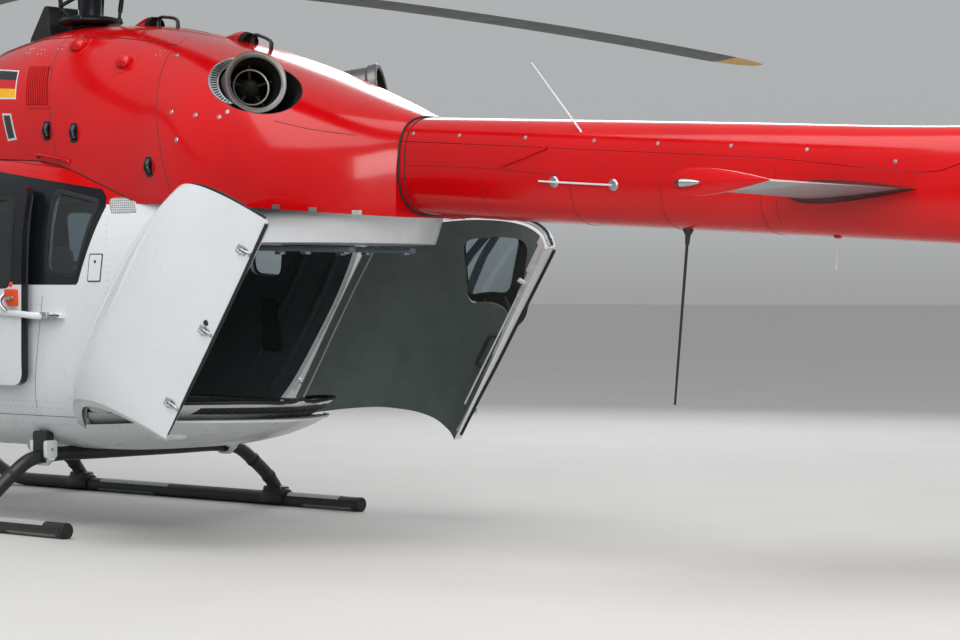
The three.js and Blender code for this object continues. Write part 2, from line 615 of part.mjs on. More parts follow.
function addCowls() {
  const outer = bodySolid(cowlSections, 0, RING);
  const inner = bodySolid(cowlSections, COWL_WALL, RING);
  const [[stripX, stripZ], [endX, endZ]] = STRIP_LINE;
  const overStrip = sidePrism(
    [[3000, 1900], [3000, 3300], [TAIL_END, 3300], [TAIL_END, endZ], [endX, endZ], [stripX, stripZ]],
    -CUT, CUT,
  );
  const shell = outer.subtract(inner).subtract(podGrown.intersect(boxSolid([stripX, -CUT, 0], [4000, CUT, 3000])));
  const upper = shell.intersect(overStrip);
  const underStrip = sidePrism(
    [[stripX - SEAT_GAP, STRIP_BOTTOM], [stripX - SEAT_GAP, stripZ - SEAT_GAP], [endX, endZ - SEAT_GAP],
      [endX, STRIP_BOTTOM]],
    -CUT, CUT,
  );
  const land = bodySolid(doorSections, WALL + DOOR_GAP, RING);
  const flange = bodySolid(podSections, WALL + SEAT_GAP, RING).intersect(
    boxSolid([stripX - 60, -CUT, CLAM_TOP[0] + 18], [stripX + 80, CUT, stripZ - SEAT_GAP]),
  );
  place('rear_roof', panelOf(land.intersect(underStrip).add(flange)), 'white');

  const mastHole = rodSolid([0, 0, 2500], [0, 0, 3300], MAST_RADIUS + 75, 24);
  const zone = (front, rear, y0, y1) => upper.intersect(sidePrism(
    [[front[1], COWL_JOINTS.low], [front[0], COWL_JOINTS.high], [rear[0] + SEAT_GAP, COWL_JOINTS.high],
      [rear[1] + SEAT_GAP, COWL_JOINTS.low]], y0, y1));
  const { nose, front, rear, tail } = COWL_JOINTS;
  place('front_cowl', panelOf(zone(nose, front, -CUT, CUT).subtract(mastHole)), 'red');
  place('engine_cowl_left', panelOf(zone(front, rear, SEAT_GAP, CUT).subtract(mastHole)), 'red');
  place('engine_cowl_right', panelOf(zone(front, rear, -CUT, 0).subtract(mastHole)), 'red');
  let aft = zone(rear, tail, -CUT, CUT);
  HALF_SIDES.forEach(([side, sign]) => {
    const pipe = exhaustLine(sign);
    aft = aft.subtract(exhaustOpening(pipe));
    place(`exhaust_${side}`, exhaustPipe(pipe), 'metal');
    const [from, to] = [sign * ENGINE.y - ENGINE.half, sign * ENGINE.y + ENGINE.half];
    const block = boxSolid([ENGINE.x[0], from, ENGINE.z[0]], [ENGINE.x[1], to, ENGINE.z[1]]);
    const socket = rodSolid(pipe.at(-PIPE_LENGTH - SEAT_GAP), pipe.at(0), EXHAUST_RADIUS, 24);
    place(`engine_${side}`, panelOf(block.subtract(podGrown).subtract(socket)), 'metal');
  });
  place('aft_cowl', panelOf(aft), 'red');
  const [halfX, halfY] = GEARBOX.half;
  const gearbox = boxSolid([-halfX, -halfY, GEARBOX.z[0]], [halfX, halfY, GEARBOX.z[1]]);
  place('gearbox', panelOf(gearbox.subtract(podGrown)), 'metal');
}

// Each exhaust points aft and outwards from its engine.
function exhaustLine(sign) {
  const towards = ([x, y, z]) => new THREE.Vector3(x, sign * y, z);
  const direction = towards(EXHAUST_AIM).normalize();
  const mouth = towards(EXHAUST_MOUTH);
  const at = (x) => mouth.clone().addScaledVector(direction, x).toArray();
  return { direction: direction.toArray(), at };
}

function exhaustOpening({ at }) {
  return rodSolid(at(-620), at(700), EXHAUST_RADIUS + 24, 24);
}

function exhaustPipe({ direction, at }) {
  const r = EXHAUST_RADIUS;
  const profile = [[r - 43, -PIPE_LENGTH], [r - 10, -PIPE_LENGTH], [r - 10, -60], [r, -50], [r, 0], [r - 25, 0],
    [r - 43, -90], [r - 43, -PIPE_LENGTH]];
  return turnedSolid(profile, 24, direction, at(0));
}

function addTail() {
  const outer = bodySolid(boomSections, 0, 24);
  const inner = bodySolid(boomSections, TAIL_WALL, 24);
  const through = loftSolid([-2700, -7100].map((x) => {
    const nearest = x > -4000 ? boomSections[0] : boomSections.at(-1);
    return sectionRing({ ...nearest, x }, TAIL_WALL, 24, x, 1e9);
  }));
  const endBoxes = joined([
    boxSolid([-2930, -CUT, 0], [-2700, CUT, 3000]),
    boxSolid([-7100, -CUT, 0], [-6800, CUT, 3000]),
  ]);
  const hollow = inner.add(through.intersect(endBoxes));
  const skin = outer.subtract(hollow).subtract(shroudDisc(SEAT_GAP));
  const coverLine = (gap) => sidePrism(COVER_LINE.map(([x, z]) => [x - gap, z - gap]), -CUT, CUT);
  place('tail_boom', panelOf(skin.subtract(coverLine(SEAT_GAP))), 'red');
  place('driveshaft_cover', panelOf(skin.intersect(coverLine(0))), 'red');
  addFin();
  const grownBoom = bodySolid(boomSections, -SEAT_GAP, 24);
  HALF_SIDES.forEach(([side, sign]) => {
    const rings = stabiliserSections.map((section) => airfoilRing(section, (along, up) => (
      [section.front - along, sign * section.y, STABILISER_Z - up])));
    place(`stabiliser_${side}`, panelOf(loftSolid(rings).subtract(grownBoom)), 'grey');
  });
  WHIPS.forEach(([name, foot, tip, radius, finish]) => {
    const whip = rodSolid(foot, tip, radius, 8, radius * 0.5);
    place(name, panelOf(whip.subtract(grownBoom)), finish);
  });
}

function finRings(sections, wall) {
  return sections.map((section) => {
    const chord = section.front - section.back - 3 * wall;
    const inset = { chord, thick: section.thick - 2 * wall };
    return airfoilRing(inset, (along, side) => [section.front - 1.5 * wall - along, side, section.z]);
  });
}

// The shroud's outer shape as a full disc.
function shroudDisc(grow) {
  const half = SHROUD_HALF_WIDTH + grow;
  const edge = SHROUD_HALF_WIDTH - SHROUD_EDGE;
  return turnedSolid([
    [0, -half], [SHROUD_RADIUS - SHROUD_EDGE, -half], [SHROUD_RADIUS + grow, -edge], [SHROUD_RADIUS + grow, edge],
    [SHROUD_RADIUS - SHROUD_EDGE, half], [0, half],
  ], SHROUD_SIDES, [0, 1, 0], [DUCT_X, 0, DUCT_Z]);
}

function addFin() {
  const half = SHROUD_HALF_WIDTH;
  const mouth = DUCT_RADIUS + 45;
  const rim = SHROUD_RADIUS - SHROUD_EDGE;
  const ring = (grow) => {
    const bore = DUCT_RADIUS + grow;
    const outside = SHROUD_RADIUS - grow;
    const face = half - grow;
    return turnedSolid([
      [bore, 40 - face], [mouth, -face], [rim, -face], [outside, SHROUD_EDGE - face], [outside, face - SHROUD_EDGE],
      [rim, face], [mouth, face], [bore, face - 40], [bore, 40 - face],
    ], SHROUD_SIDES, [0, 1, 0], [DUCT_X, 0, DUCT_Z]);
  };
  const duct = rodSolid([DUCT_X, -CUT, DUCT_Z], [DUCT_X, CUT, DUCT_Z], DUCT_RADIUS, SHROUD_SIDES);
  const skin = joined([ring(0), loftSolid(finRings(finSections, 0)), loftSolid(finRings(stubSections, 0))]);
  const boomDoor = boxSolid([-6800, -110, 2000], [-6500, 110, 2330]);
  const finDoor = boxSolid([-7500, -60, 2840], [-7350, 60, 3000]);
  const hollow = joined([ring(TAIL_WALL), boomDoor, loftSolid(finRings(finSections, TAIL_WALL)).intersect(
    boxSolid([-9000, -CUT, 2700], [-6000, CUT, 3860]),
  ), finDoor]);
  const boss = FAN_Y - FAN_HUB;
  const hub = turnedSolid([[0, -120], [120, -120], [160, -80], [160, boss], [0, boss]], 16, [0, 1, 0],
    [DUCT_X, 0, DUCT_Z]);
  const vanes = Array.from({ length: VANES }, (_, i) => {
    const angle = ((i + 0.3) / VANES) * 2 * Math.PI;
    const reach = DUCT_RADIUS + 8;
    const onRay = (out) => [DUCT_X + out * Math.cos(angle), VANE_Y, DUCT_Z + out * Math.sin(angle)];
    return rodSolid(onRay(140), onRay(reach), 16, 4);
  });
  place('tail_fin', panelOf(joined([skin.subtract(duct).subtract(hollow), hub, ...vanes])), 'red');
}

function addGear() {
  HALF_SIDES.forEach(([side, sign]) => {
    const y = sign * SKID_Y;
    const straight = [SKID_TIP, 0, 1000, SKID_BEND - 60, SKID_BEND - 30].map((x) => [x, y, SKID_RADIUS]);
    const toe = SKID_TOE.map(([ahead, up]) => [SKID_BEND + ahead, y, SKID_RADIUS + up]);
    place(`skid_${side}`, solidOf(tubeGeometry([...straight, ...toe], SKID_RADIUS, 10, 18)), 'black');
  });
  [['front', CROSS_FRONT], ['rear', CROSS_REAR]].forEach(([name, x]) => {
    const left = CROSS_PATH.map(([y, z]) => [x, y, z]);
    const right = CROSS_PATH.map(([y, z]) => [x, -y, z]).reverse();
    const tube = solidOf(tubeGeometry([...left, ...right], CROSS_RADIUS, 8, 22));
    const skidTubes = HALF_SIDES.map(([, sign]) => (
      rodSolid([x - 200, sign * SKID_Y, SKID_RADIUS], [x + 200, sign * SKID_Y, SKID_RADIUS],
        (SKID_RADIUS + SEAT_GAP) / Math.cos(Math.PI / 24), 24)));
    const block = ([along, across], y, low, top) => (
      boxSolid([x - along, y - across, low], [x + along, y + across, top]));
    const saddles = HALF_SIDES.map(([, sign]) => (
      block(SADDLE.half, sign * SKID_Y, SADDLE.low, 2 * SKID_RADIUS + SADDLE.rise)));
    const brackets = HALF_SIDES.map(([, sign]) => block(BRACKET.half, sign * BRACKET.y, ...BRACKET.z));
    const gear = joined([tube, ...saddles, ...brackets]).subtract(joined(skidTubes)).subtract(podGrown);
    place(`crosstube_${name}`, panelOf(gear), 'black');
  });
}

function addCockpit() {
  const onFloor = FLOOR_TOP + SEAT_GAP;
  HALF_SIDES.forEach(([side, sign]) => {
    const y = sign * SEAT.y;
    const shell = sidePrism(SEAT.shell, y - SEAT.shellHalf, y + SEAT.shellHalf);
    const [rear, front, top] = SEAT.legs;
    const legs = boxSolid([rear, y - SEAT.legsHalf, onFloor], [front, y + SEAT.legsHalf, top]);
    place(`seat_frame_${side}`, panelOf(shell.add(legs)), 'slate');
    const padding = (outline) => sidePrism(outline, y - SEAT.cushionHalf, y + SEAT.cushionHalf);
    place(`seat_cushion_${side}`, padding(SEAT.cushion), 'fabric');
    place(`seat_back_${side}`, padding(SEAT.back), 'fabric');
  });
  const hood = sidePrism(PANEL.hood, -PANEL.hoodHalf, PANEL.hoodHalf);
  const [rear, front, top] = PANEL.plinth;
  const plinth = boxSolid([rear, -PANEL.plinthHalf, onFloor], [front, PANEL.plinthHalf, top]);
  const insideNose = bodySolid(podSections, WALL + SEAT_GAP, RING);
  place('instrument_panel', panelOf(hood.add(plinth).intersect(insideNose)), 'black');
  const console = sidePrism(PANEL.console, -PANEL.consoleHalf, PANEL.consoleHalf);
  const overFloor = boxSolid([0, -CUT, onFloor], [3000, CUT, 3000]);
  place('centre_console', panelOf(console.intersect(overFloor)), 'black');
}

function addRotor() {
  const mast = rodSolid([0, 0, 2780 + SEAT_GAP], [0, 0, ROTOR_HEIGHT], MAST_RADIUS, 20);
  const hub = turnedSolid([[0, -70], [150, -70], [190, -40], [190, 50], [120, 90], [0, 110]], 24, [0, 0, 1],
    [0, 0, ROTOR_HEIGHT]);
  const turns = Array.from({ length: BLADE_COUNT }, (_, i) => (
    THREE.MathUtils.degToRad(ROTOR_PHASE + (i * 360) / BLADE_COUNT)));
  const arms = turns.map((turn) => rodSolid(
    [0, 0, ROTOR_HEIGHT],
    [ARM_REACH * Math.cos(turn), ARM_REACH * Math.sin(turn), ROTOR_HEIGHT], 62, 10,
  ));
  place('rotor_head', panelOf(joined([mast, hub, ...arms])), 'slate');
  turns.forEach((turn, i) => {
    const spun = new THREE.Group();
    spun.rotation.z = turn;
    spun.position.z = ROTOR_HEIGHT;
    helicopter.add(spun);
    const rings = bladeSections.map((section) => {
      const reach = section.reach * ROTOR_RADIUS;
      const droop = ROTOR_DROOP * section.reach ** 2;
      return airfoilRing(section, (along, up) => (
        [reach, section.chord * 0.3 - along - section.sweep, up - droop]));
    });
    place(`main_blade_${i + 1}`, loftSolid(rings), 'slate', spun);
  });
  addSwashplate(turns);
  addTailRotor();
}

function addSwashplate(turns) {
  const bore = (MAST_RADIUS + SEAT_GAP) / Math.cos(Math.PI / 24);
  const plate = turnedSolid([
    [bore, 3022], [185, 3030], [200, 3048], [185, 3066], [bore, 3088], [bore, 3022],
  ], 24, [0, 0, 1], [0, 0, 0]);
  const links = turns.map((turn) => {
    const angle = turn + THREE.MathUtils.degToRad(42);
    const foot = [180 * Math.cos(angle), 180 * Math.sin(angle), 3046];
    return rodSolid(foot, [215 * Math.cos(angle), 215 * Math.sin(angle), ROTOR_HEIGHT - 20], 14, 8);
  });
  place('swashplate', panelOf(joined([plate, ...links])), 'slate');
  const fairing = sidePrism([[235, 2930], [450, 2880], [430, 2960], [300, 3155], [260, 3155]], -120, 120);
  const cowl = bodySolid(cowlSections, -SEAT_GAP, RING);
  place('mast_fairing', panelOf(fairing.subtract(cowl)), 'black');
}

function addTailRotor() {
  const hub = turnedSolid([
    [0, SEAT_GAP - FAN_HUB], [45, SEAT_GAP - FAN_HUB], [45, -56], [150, -56], [175, -40], [175, 35], [120, 62],
    [0, 70],
  ], 16, [0, 1, 0], [DUCT_X, FAN_Y, DUCT_Z]);
  const blades = Array.from({ length: FAN_BLADES }, (_, i) => {
    const angle = ((i + (i % 2) * 0.22) / FAN_BLADES) * 2 * Math.PI;
    const blade = new THREE.BoxGeometry(FAN_RADIUS - 150, 14, 88);
    blade.rotateX(THREE.MathUtils.degToRad(52));
    blade.translate((FAN_RADIUS + 150) / 2, 0, 0);
    blade.rotateY(-angle);
    blade.translate(DUCT_X, FAN_Y - 5, DUCT_Z);
    return solidOf(blade);
  });
  place('tail_rotor', panelOf(joined([hub, ...blades])), 'grey');
}

export default helicopter;
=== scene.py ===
# Light twin-engine rescue helicopter, parked on its skids with the rear clamshell doors open.
# The tables are in millimetres, with x from the main rotor's axis, y to the left and z from the ground.
# metres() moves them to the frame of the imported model.
import math
import bmesh
import bpy
import numpy as np
from mathutils import Matrix, Vector
from mathutils.geometry import tessellate_polygon


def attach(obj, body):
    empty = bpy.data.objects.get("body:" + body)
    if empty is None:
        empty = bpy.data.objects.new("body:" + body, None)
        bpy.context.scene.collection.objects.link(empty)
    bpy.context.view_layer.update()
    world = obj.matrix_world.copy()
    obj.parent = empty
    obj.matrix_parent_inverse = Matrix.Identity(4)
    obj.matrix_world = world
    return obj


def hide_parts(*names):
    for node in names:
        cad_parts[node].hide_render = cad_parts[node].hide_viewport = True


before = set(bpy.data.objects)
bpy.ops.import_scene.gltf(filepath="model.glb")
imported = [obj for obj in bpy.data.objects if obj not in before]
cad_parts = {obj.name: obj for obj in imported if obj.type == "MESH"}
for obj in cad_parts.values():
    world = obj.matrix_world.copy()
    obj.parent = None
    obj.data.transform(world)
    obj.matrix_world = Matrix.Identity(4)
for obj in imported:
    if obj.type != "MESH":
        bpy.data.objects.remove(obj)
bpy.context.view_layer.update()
rotorX = 1388
sides = (("left", 1), ("right", -1))


def metres(points):  # table millimetres to the row frame in metres
    return (np.asarray(points, float) + (rotorX, 0, 0)) * 0.001


def xyz(x, y, z):  # one array of points from coordinates that broadcast together
    return np.stack(np.broadcast_arrays(x, y, z), -1).astype(float)


# Shapes are pairs of points and faces. A grid's point is a function of its row and its column.

def gridShape(points, wrap=False, caps=False):
    # quads between rows and columns; wrap joins the last column to the first, caps fan over the end rows
    rows, columns = points.shape[:2]
    index = np.arange(rows * columns).reshape(rows, columns)
    ahead = np.roll(index, -1, axis=1) if wrap else index[:, 1:]
    here = index if wrap else index[:, :-1]
    quads = np.stack([here[:-1], ahead[:-1], ahead[1:], here[1:]], -1).reshape(-1, 4)
    flat = points.reshape(-1, 3)
    faces = [quads]
    if caps:
        flat = np.vstack([flat, points[0].mean(0), points[-1].mean(0)])
        n = rows * columns
        faces.append(np.stack([ahead[0], here[0], np.full(columns, n)], -1))
        faces.append(np.stack([here[-1], ahead[-1], np.full(columns, n + 1)], -1))
    return outwards(flat, faces) if wrap and caps else (flat, faces)


def outwards(points, faces):
    # the signed volume, summed over a fan of every face, is below zero for a shape that is inside out
    total = 0.0
    for block in faces:
        for k in range(1, block.shape[1] - 1):
            a, b, c = points[block[:, 0]], points[block[:, k]], points[block[:, k + 1]]
            total += (a * np.cross(b, c)).sum()
    return points, [block[:, ::-1] for block in faces] if total < 0 else faces


def inverted(shape):
    return shape[0], [block[:, ::-1] for block in shape[1]]


def combined(*shapes):
    points, faces, count = [], [], 0
    for p, blocks in shapes:
        points.append(p)
        faces += [block + count for block in blocks]
        count += len(p)
    return np.vstack(points), faces


def moved(shape, matrix):
    m = np.array(matrix, float)
    turned = shape[0] @ m[:3, :3].T + m[:3, 3]
    return outwards(turned, shape[1]) if np.linalg.det(m[:3, :3]) < 0 else (turned, shape[1])


def faceAway(shape, anchor=None):
    # an open patch is turned to look away from a point, by default a little lower on the centre plane
    middle = shape[0].mean(0)
    anchor = (middle[0], 0, middle[2] - 100) if anchor is None else anchor
    return shape[0], outwards(shape[0] - np.asarray(anchor, float), shape[1])[1]


def bareMesh(name, shape):
    points, blocks = shape
    mesh = bpy.data.meshes.new(name)
    totals = np.concatenate([np.full(len(b), b.shape[1]) for b in blocks])
    loops = np.concatenate([b.ravel() for b in blocks])
    mesh.vertices.add(len(points))
    mesh.vertices.foreach_set("co", metres(points).ravel())
    mesh.loops.add(len(loops))
    mesh.loops.foreach_set("vertex_index", loops.astype(np.int32))
    mesh.polygons.add(len(totals))
    mesh.polygons.foreach_set("loop_start", (np.cumsum(totals) - totals).astype(np.int32))
    mesh.update(calc_edges=True)
    mesh.validate()
    return mesh


def smoothEdges(mesh, angle):
    mesh.polygons.foreach_set("use_smooth", np.ones(len(mesh.polygons), bool))
    mesh.set_sharp_from_angle(angle=math.radians(angle))


def faceData(mesh):
    # middles in table millimetres, and normals
    centres, normals = np.zeros(len(mesh.polygons) * 3), np.zeros(len(mesh.polygons) * 3)
    mesh.polygons.foreach_get("center", centres)
    mesh.polygons.foreach_get("normal", normals)
    return centres.reshape(-1, 3) * 1000 - (rotorX, 0, 0), normals.reshape(-1, 3)


def makePiece(name, shape, materials, body="airframe", slot=None, replaces=(), angle=38, zones=None):
    # zones turns the faces' middles and normals into the numbers of their materials
    # the first material's slot is looked up unless another slot is given, but the result is not kept
    mesh = shape if isinstance(shape, bpy.types.Mesh) else bareMesh(name, shape)
    mesh.name = name
    mesh.materials.clear()
    piece = bpy.data.objects.new(name, mesh)
    bpy.context.scene.collection.objects.link(piece)
    smoothEdges(mesh, angle)
    for material in materials if isinstance(materials, (list, tuple)) else [materials]:
        mesh.materials.append(material)
    if zones:
        mesh.polygons.foreach_set("material_index", np.asarray(zones(*faceData(mesh)), np.int32))
    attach(piece, body)
    if replaces:
        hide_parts(*([replaces] if isinstance(replaces, str) else replaces))
    slot or slotOf.get(mesh.materials[0].name, "black_paint")
    return piece


cut = lambda shape: ("DIFFERENCE", shape)
keep = lambda shape: ("INTERSECT", shape)
join = lambda shape: ("UNION", shape)


def carved(start, *steps):
    # a closed shape is cut, kept inside or joined, one closed cutter after another; the largest part is kept
    piece = bpy.data.objects.new("carved", bareMesh("carved", start))
    bpy.context.scene.collection.objects.link(piece)
    for operation, cutter in steps:
        tool = bpy.data.objects.new("cutter", bareMesh("cutter", cutter))
        bpy.context.scene.collection.objects.link(tool)
        boolean = piece.modifiers.new("cut", "BOOLEAN")
        boolean.operation, boolean.solver, boolean.object = operation, "MANIFOLD", tool
        result = bpy.data.meshes.new_from_object(piece.evaluated_get(bpy.context.evaluated_depsgraph_get()))
        piece.modifiers.clear()
        piece.data = result
        bpy.data.objects.remove(tool)
    mesh = piece.data
    bpy.data.objects.remove(piece)
    return largestPart(mesh)


def largestPart(mesh):
    # points take the lowest number among their neighbours until nothing changes: one number for each part
    edges = np.zeros(len(mesh.edges) * 2, np.int32)
    mesh.edges.foreach_get("vertices", edges)
    a, b = edges.reshape(-1, 2).T
    part = np.arange(len(mesh.vertices))
    while True:
        before = part.copy()
        low = np.minimum(part[a], part[b])
        np.minimum.at(part, a, low)
        np.minimum.at(part, b, low)
        part = part[part]
        if (part == before).all():
            break
    names, counts = np.unique(part, return_counts=True)
    if len(names) < 2:
        return mesh
    lost = np.flatnonzero(part != names[counts.argmax()])
    work = bmesh.new()
    work.from_mesh(mesh)
    work.verts.ensure_lookup_table()
    bmesh.ops.delete(work, geom=[work.verts[i] for i in lost], context="VERTS")
    work.to_mesh(mesh)
    work.free()
    return mesh


# Fuselage sections: x at the lean's zero height, the lean, lowest point, widest height, highest point,
# half width, and the roundness of the upper and the lower half, where 2 is an ellipse and more is squarer.
cabinRows = [
    [3572, 0, 984, 985, 986, 3, 2.0, 2.0], [3567, 0, 930, 985, 1044, 62, 2.0, 2.0],
    [3550, 0, 885, 985, 1085, 122, 2.0, 2.0], [3500, 0, 790, 985, 1190, 270, 2.1, 2.1],
    [3360, 0, 670, 1000, 1350, 470, 2.2, 2.3], [3050, 0, 555, 1040, 1600, 650, 2.4, 2.6],
    [2650, 0, 480, 1090, 1850, 760, 2.7, 3.0], [2200, 0, 445, 1120, 2060, 820, 3.1, 3.4],
    [1700, 0, 430, 1140, 2200, 848, 3.7, 3.6], [1100, 0, 430, 1150, 2270, 855, 4.4, 3.8],
    [-50, 0.15, 430, 1150, 2285, 855, 4.2, 3.8], [-420, 0.36, 430, 1130, 2260, 860, 3.1, 3.8],
    [-840, 0.70, 435, 1100, 2205, 866, 2.4, 3.7], [-1120, 0.714, 452, 1100, 2170, 850, 2.4, 3.6],
]
podRows = cabinRows + [
    [-1370, 0.725, 492, 1110, 2140, 784, 2.5, 3.2], [-1560, 0.735, 545, 1120, 2110, 670, 2.6, 3.0],
    [-1700, 0.745, 600, 1130, 2080, 505, 2.8, 2.8], [-1780, 0.75, 638, 1140, 2050, 320, 3.0, 2.8],
    [-1808, 0.755, 655, 1150, 2030, 150, 3.2, 2.8],
]
doorRows = cabinRows[-5:] + [
    [-1410, 0.714, 475, 1110, 2140, 805, 2.5, 3.4], [-1640, 0.716, 510, 1120, 2110, 695, 2.6, 3.2],
    [-1800, 0.718, 550, 1130, 2080, 534, 2.8, 3.2], [-1890, 0.72, 585, 1140, 2050, 352, 3.0, 3.0],
    [-1930, 0.72, 610, 1150, 2030, 180, 3.4, 3.0], [-1940, 0.72, 625, 1150, 2025, 60, 3.4, 3.0],
]
cowlRows = [
    [1582, 0, 2105, 2140, 2165, 60, 2.2, 4], [1560, 0, 2040, 2150, 2270, 230, 2.2, 4],
    [1300, 0, 2000, 2120, 2470, 440, 2.3, 4], [900, 0, 1950, 2080, 2730, 590, 2.4, 4],
    [350, 0, 1900, 2050, 2945, 660, 2.4, 4], [-150, 0, 1850, 2045, 3000, 685, 2.4, 4],
    [-650, 0, 1800, 2030, 2978, 700, 2.4, 4], [-1200, 0, 1770, 2000, 2886, 735, 2.4, 5],
    [-1640, 0, 1745, 1970, 2768, 785, 2.4, 6], [-2050, 0, 1725, 1955, 2634, 745, 2.4, 6],
    [-2450, 0, 1705, 1950, 2487, 600, 2.4, 6], [-2680, 0, 1695, 1950, 2403, 440, 2.4, 6],
    [-2820, 0, 1690, 1960, 2353, 290, 2.6, 6],
]
boomRows = [
    [-2820.4, 0, 1812, 2078, 2345, 272, 2.8, 2.8], [-3500, 0, 1765, 2038, 2311, 255, 2.7, 2.7],
    [-4900, 0, 1690, 1962, 2240, 225, 2.6, 2.6], [-6130, 0, 1624, 1900, 2178, 192, 2.5, 2.5],
    [-6480, 0, 1602, 1885, 2170, 182, 2.4, 2.4], [-6900, 0, 1555, 1876, 2206, 174, 2.3, 2.3],
]
leanZero = 650


def smoothRows(rows, spacing=45):
    # a monotone cubic through the rows along x: it passes every row and never overshoots between two of them
    table = np.asarray(rows, float)
    along = -table[:, 0]
    step = np.diff(along)[:, None]
    slope = np.diff(table, axis=0) / step
    before, after = slope[:-1], slope[1:]
    w1, w2 = 2 * step[1:] + step[:-1], step[1:] + 2 * step[:-1]
    same = before * after > 1e-12
    safe = np.where(same, w1 / np.where(same, before, 1) + w2 / np.where(same, after, 1), 1)
    middle = np.where(same, (w1 + w2) / safe, 0)
    tangent = np.vstack([slope[:1], middle, slope[-1:]])
    pieces = []
    for i, length in enumerate(step[:, 0]):
        count = max(5, int(np.ceil(length / spacing)))
        t = np.linspace(0, 1, count, endpoint=False)[:, None]
        pieces.append((2 * t**3 - 3 * t**2 + 1) * table[i] + (t**3 - 2 * t**2 + t) * length * tangent[i]
                      + (3 * t**2 - 2 * t**3) * table[i + 1] + (t**3 - t**2) * length * tangent[i + 1])
    return np.vstack([*pieces, table[-1:]])


def hull(rows, wall=0, around=160, spacing=45):
    # at angle t the section's radius is (|cos t|^n + |sin t|^n)^(-1/n) times half the width and height
    table = smoothRows(rows, spacing)
    middle, half = (table[0, 0] + table[-1, 0]) / 2, (table[0, 0] - table[-1, 0]) / 2
    x0, lean, low, waist, high, width, top, bottom = table[table[:, 5] > wall * 1.6].T[..., None]
    t = np.arange(around) / around * 2 * np.pi
    upper = np.sin(t) >= 0
    n = np.where(upper, top, bottom)
    reach = np.where(upper, high - waist, waist - low)
    radius = (np.abs(np.cos(t)) ** n + np.abs(np.sin(t)) ** n) ** (-1 / n)
    y = (width - wall) * radius * np.cos(t)
    z = waist + (reach - wall) * radius * np.sin(t)
    x = middle + (x0 - lean * (z - leanZero) - middle) * (1 - wall / half)
    return gridShape(xyz(x, y, z), wrap=True, caps=True)


def hollow(rows, wall, inset=0):
    return combined(hull(rows, inset), inverted(hull(rows, inset + wall)))


def sectionAt(rows, x, z):
    # the section that passes a point: its x at the lean's zero height is found by repeated correction
    table = smoothRows(rows, 20)
    at = lambda where, column: np.interp(-where, -table[:, 0], table[:, column])
    start = x + 0.0 * z
    for _ in range(14):  # half of each correction is taken: whole ones swing past where the lean changes
        start = (start + x + at(start, 1) * (z - leanZero)) / 2
    return [at(start, column) for column in range(2, 8)]


def sideOn(rows, x, z, sign, lift=0):
    # the point of the hull's side at x and z, lifted outwards along the surface's normal
    def across(x, z):
        low, waist, high, width, top, bottom = sectionAt(rows, x, z)
        upper = z >= waist
        n = np.where(upper, top, bottom)
        reach = np.where(upper, high - waist, waist - low)
        return width * np.maximum(1 - (np.abs(z - waist) / reach) ** n, 0) ** (1 / n)
    x, z = np.asarray(x, float), np.asarray(z, float)
    y = across(x, z)
    slopeX, slopeZ = (across(x + 4, z) - across(x - 4, z)) / 8, (across(x, z + 4) - across(x, z - 4)) / 8
    normal = np.stack([-slopeX, np.ones_like(y), -slopeZ], -1)
    normal /= np.linalg.norm(normal, axis=-1, keepdims=True)
    return (xyz(x, y, z) + normal * np.asarray(lift, float)[..., None]) * (1, sign, 1)


def roofOn(rows, x, y, lift=0):
    # the point of the hull's top at x and y, lifted along the normal
    def height(x, y):
        z = np.full(np.broadcast(x, y).shape, 2200.0)
        for _ in range(8):
            _, waist, high, width, top, _ = sectionAt(rows, x, z)
            z = waist + (high - waist) * np.maximum(1 - (np.abs(y) / width) ** top, 0) ** (1 / top)
        return z
    x, y = np.asarray(x, float), np.asarray(y, float)
    z = height(x, y)
    slopeX, slopeY = (height(x + 4, y) - height(x - 4, y)) / 8, (height(x, y + 4) - height(x, y - 4)) / 8
    normal = np.stack([-slopeX, -slopeY, np.ones_like(z)], -1)
    normal /= np.linalg.norm(normal, axis=-1, keepdims=True)
    return xyz(x, y, z) + normal * np.asarray(lift, float)[..., None]


def grownOutline(points, grow):
    # every edge of a closed outline moves outwards; corners are where neighbouring edges meet again
    p = np.asarray(points, float)
    nextP = np.roll(p, -1, 0)
    area = (p[:, 0] * nextP[:, 1] - nextP[:, 0] * p[:, 1]).sum()
    along = (nextP - p) / np.linalg.norm(nextP - p, axis=1, keepdims=True)
    start = p + np.stack([along[:, 1], -along[:, 0]], 1) * np.sign(area) * grow
    beforeStart, beforeAlong = np.roll(start, 1, 0), np.roll(along, 1, 0)
    cross = beforeAlong[:, 0] * along[:, 1] - beforeAlong[:, 1] * along[:, 0]
    offset = (start - beforeStart)[:, 0] * along[:, 1] - (start - beforeStart)[:, 1] * along[:, 0]
    return beforeStart + beforeAlong * (offset / cross)[:, None]


def roundedOutline(points, corner, steps=8, grow=0):
    # each corner becomes a quadratic curve that starts and ends corner away from it
    p = grownOutline(points, grow)
    if corner <= 0:
        return p
    towards = lambda a, b: (b - a) / np.linalg.norm(b - a, axis=1, keepdims=True)
    enter, leave = p + towards(p, np.roll(p, 1, 0)) * corner, p + towards(p, np.roll(p, -1, 0)) * corner
    t = np.linspace(0, 1, steps + 1)[None, :, None]
    curve = (1 - t) ** 2 * enter[:, None] + 2 * t * (1 - t) * p[:, None] + t**2 * leave[:, None]
    return curve.reshape(-1, 2)


def evenOutline(outline, count):
    # the same closed outline as points at equal steps of its length
    closed = np.vstack([outline, outline[:1]])
    run = np.concatenate([[0], np.cumsum(np.linalg.norm(np.diff(closed, axis=0), axis=1))])
    at = np.arange(count) / count * run[-1]
    return np.stack([np.interp(at, run, closed[:, 0]), np.interp(at, run, closed[:, 1])], 1)


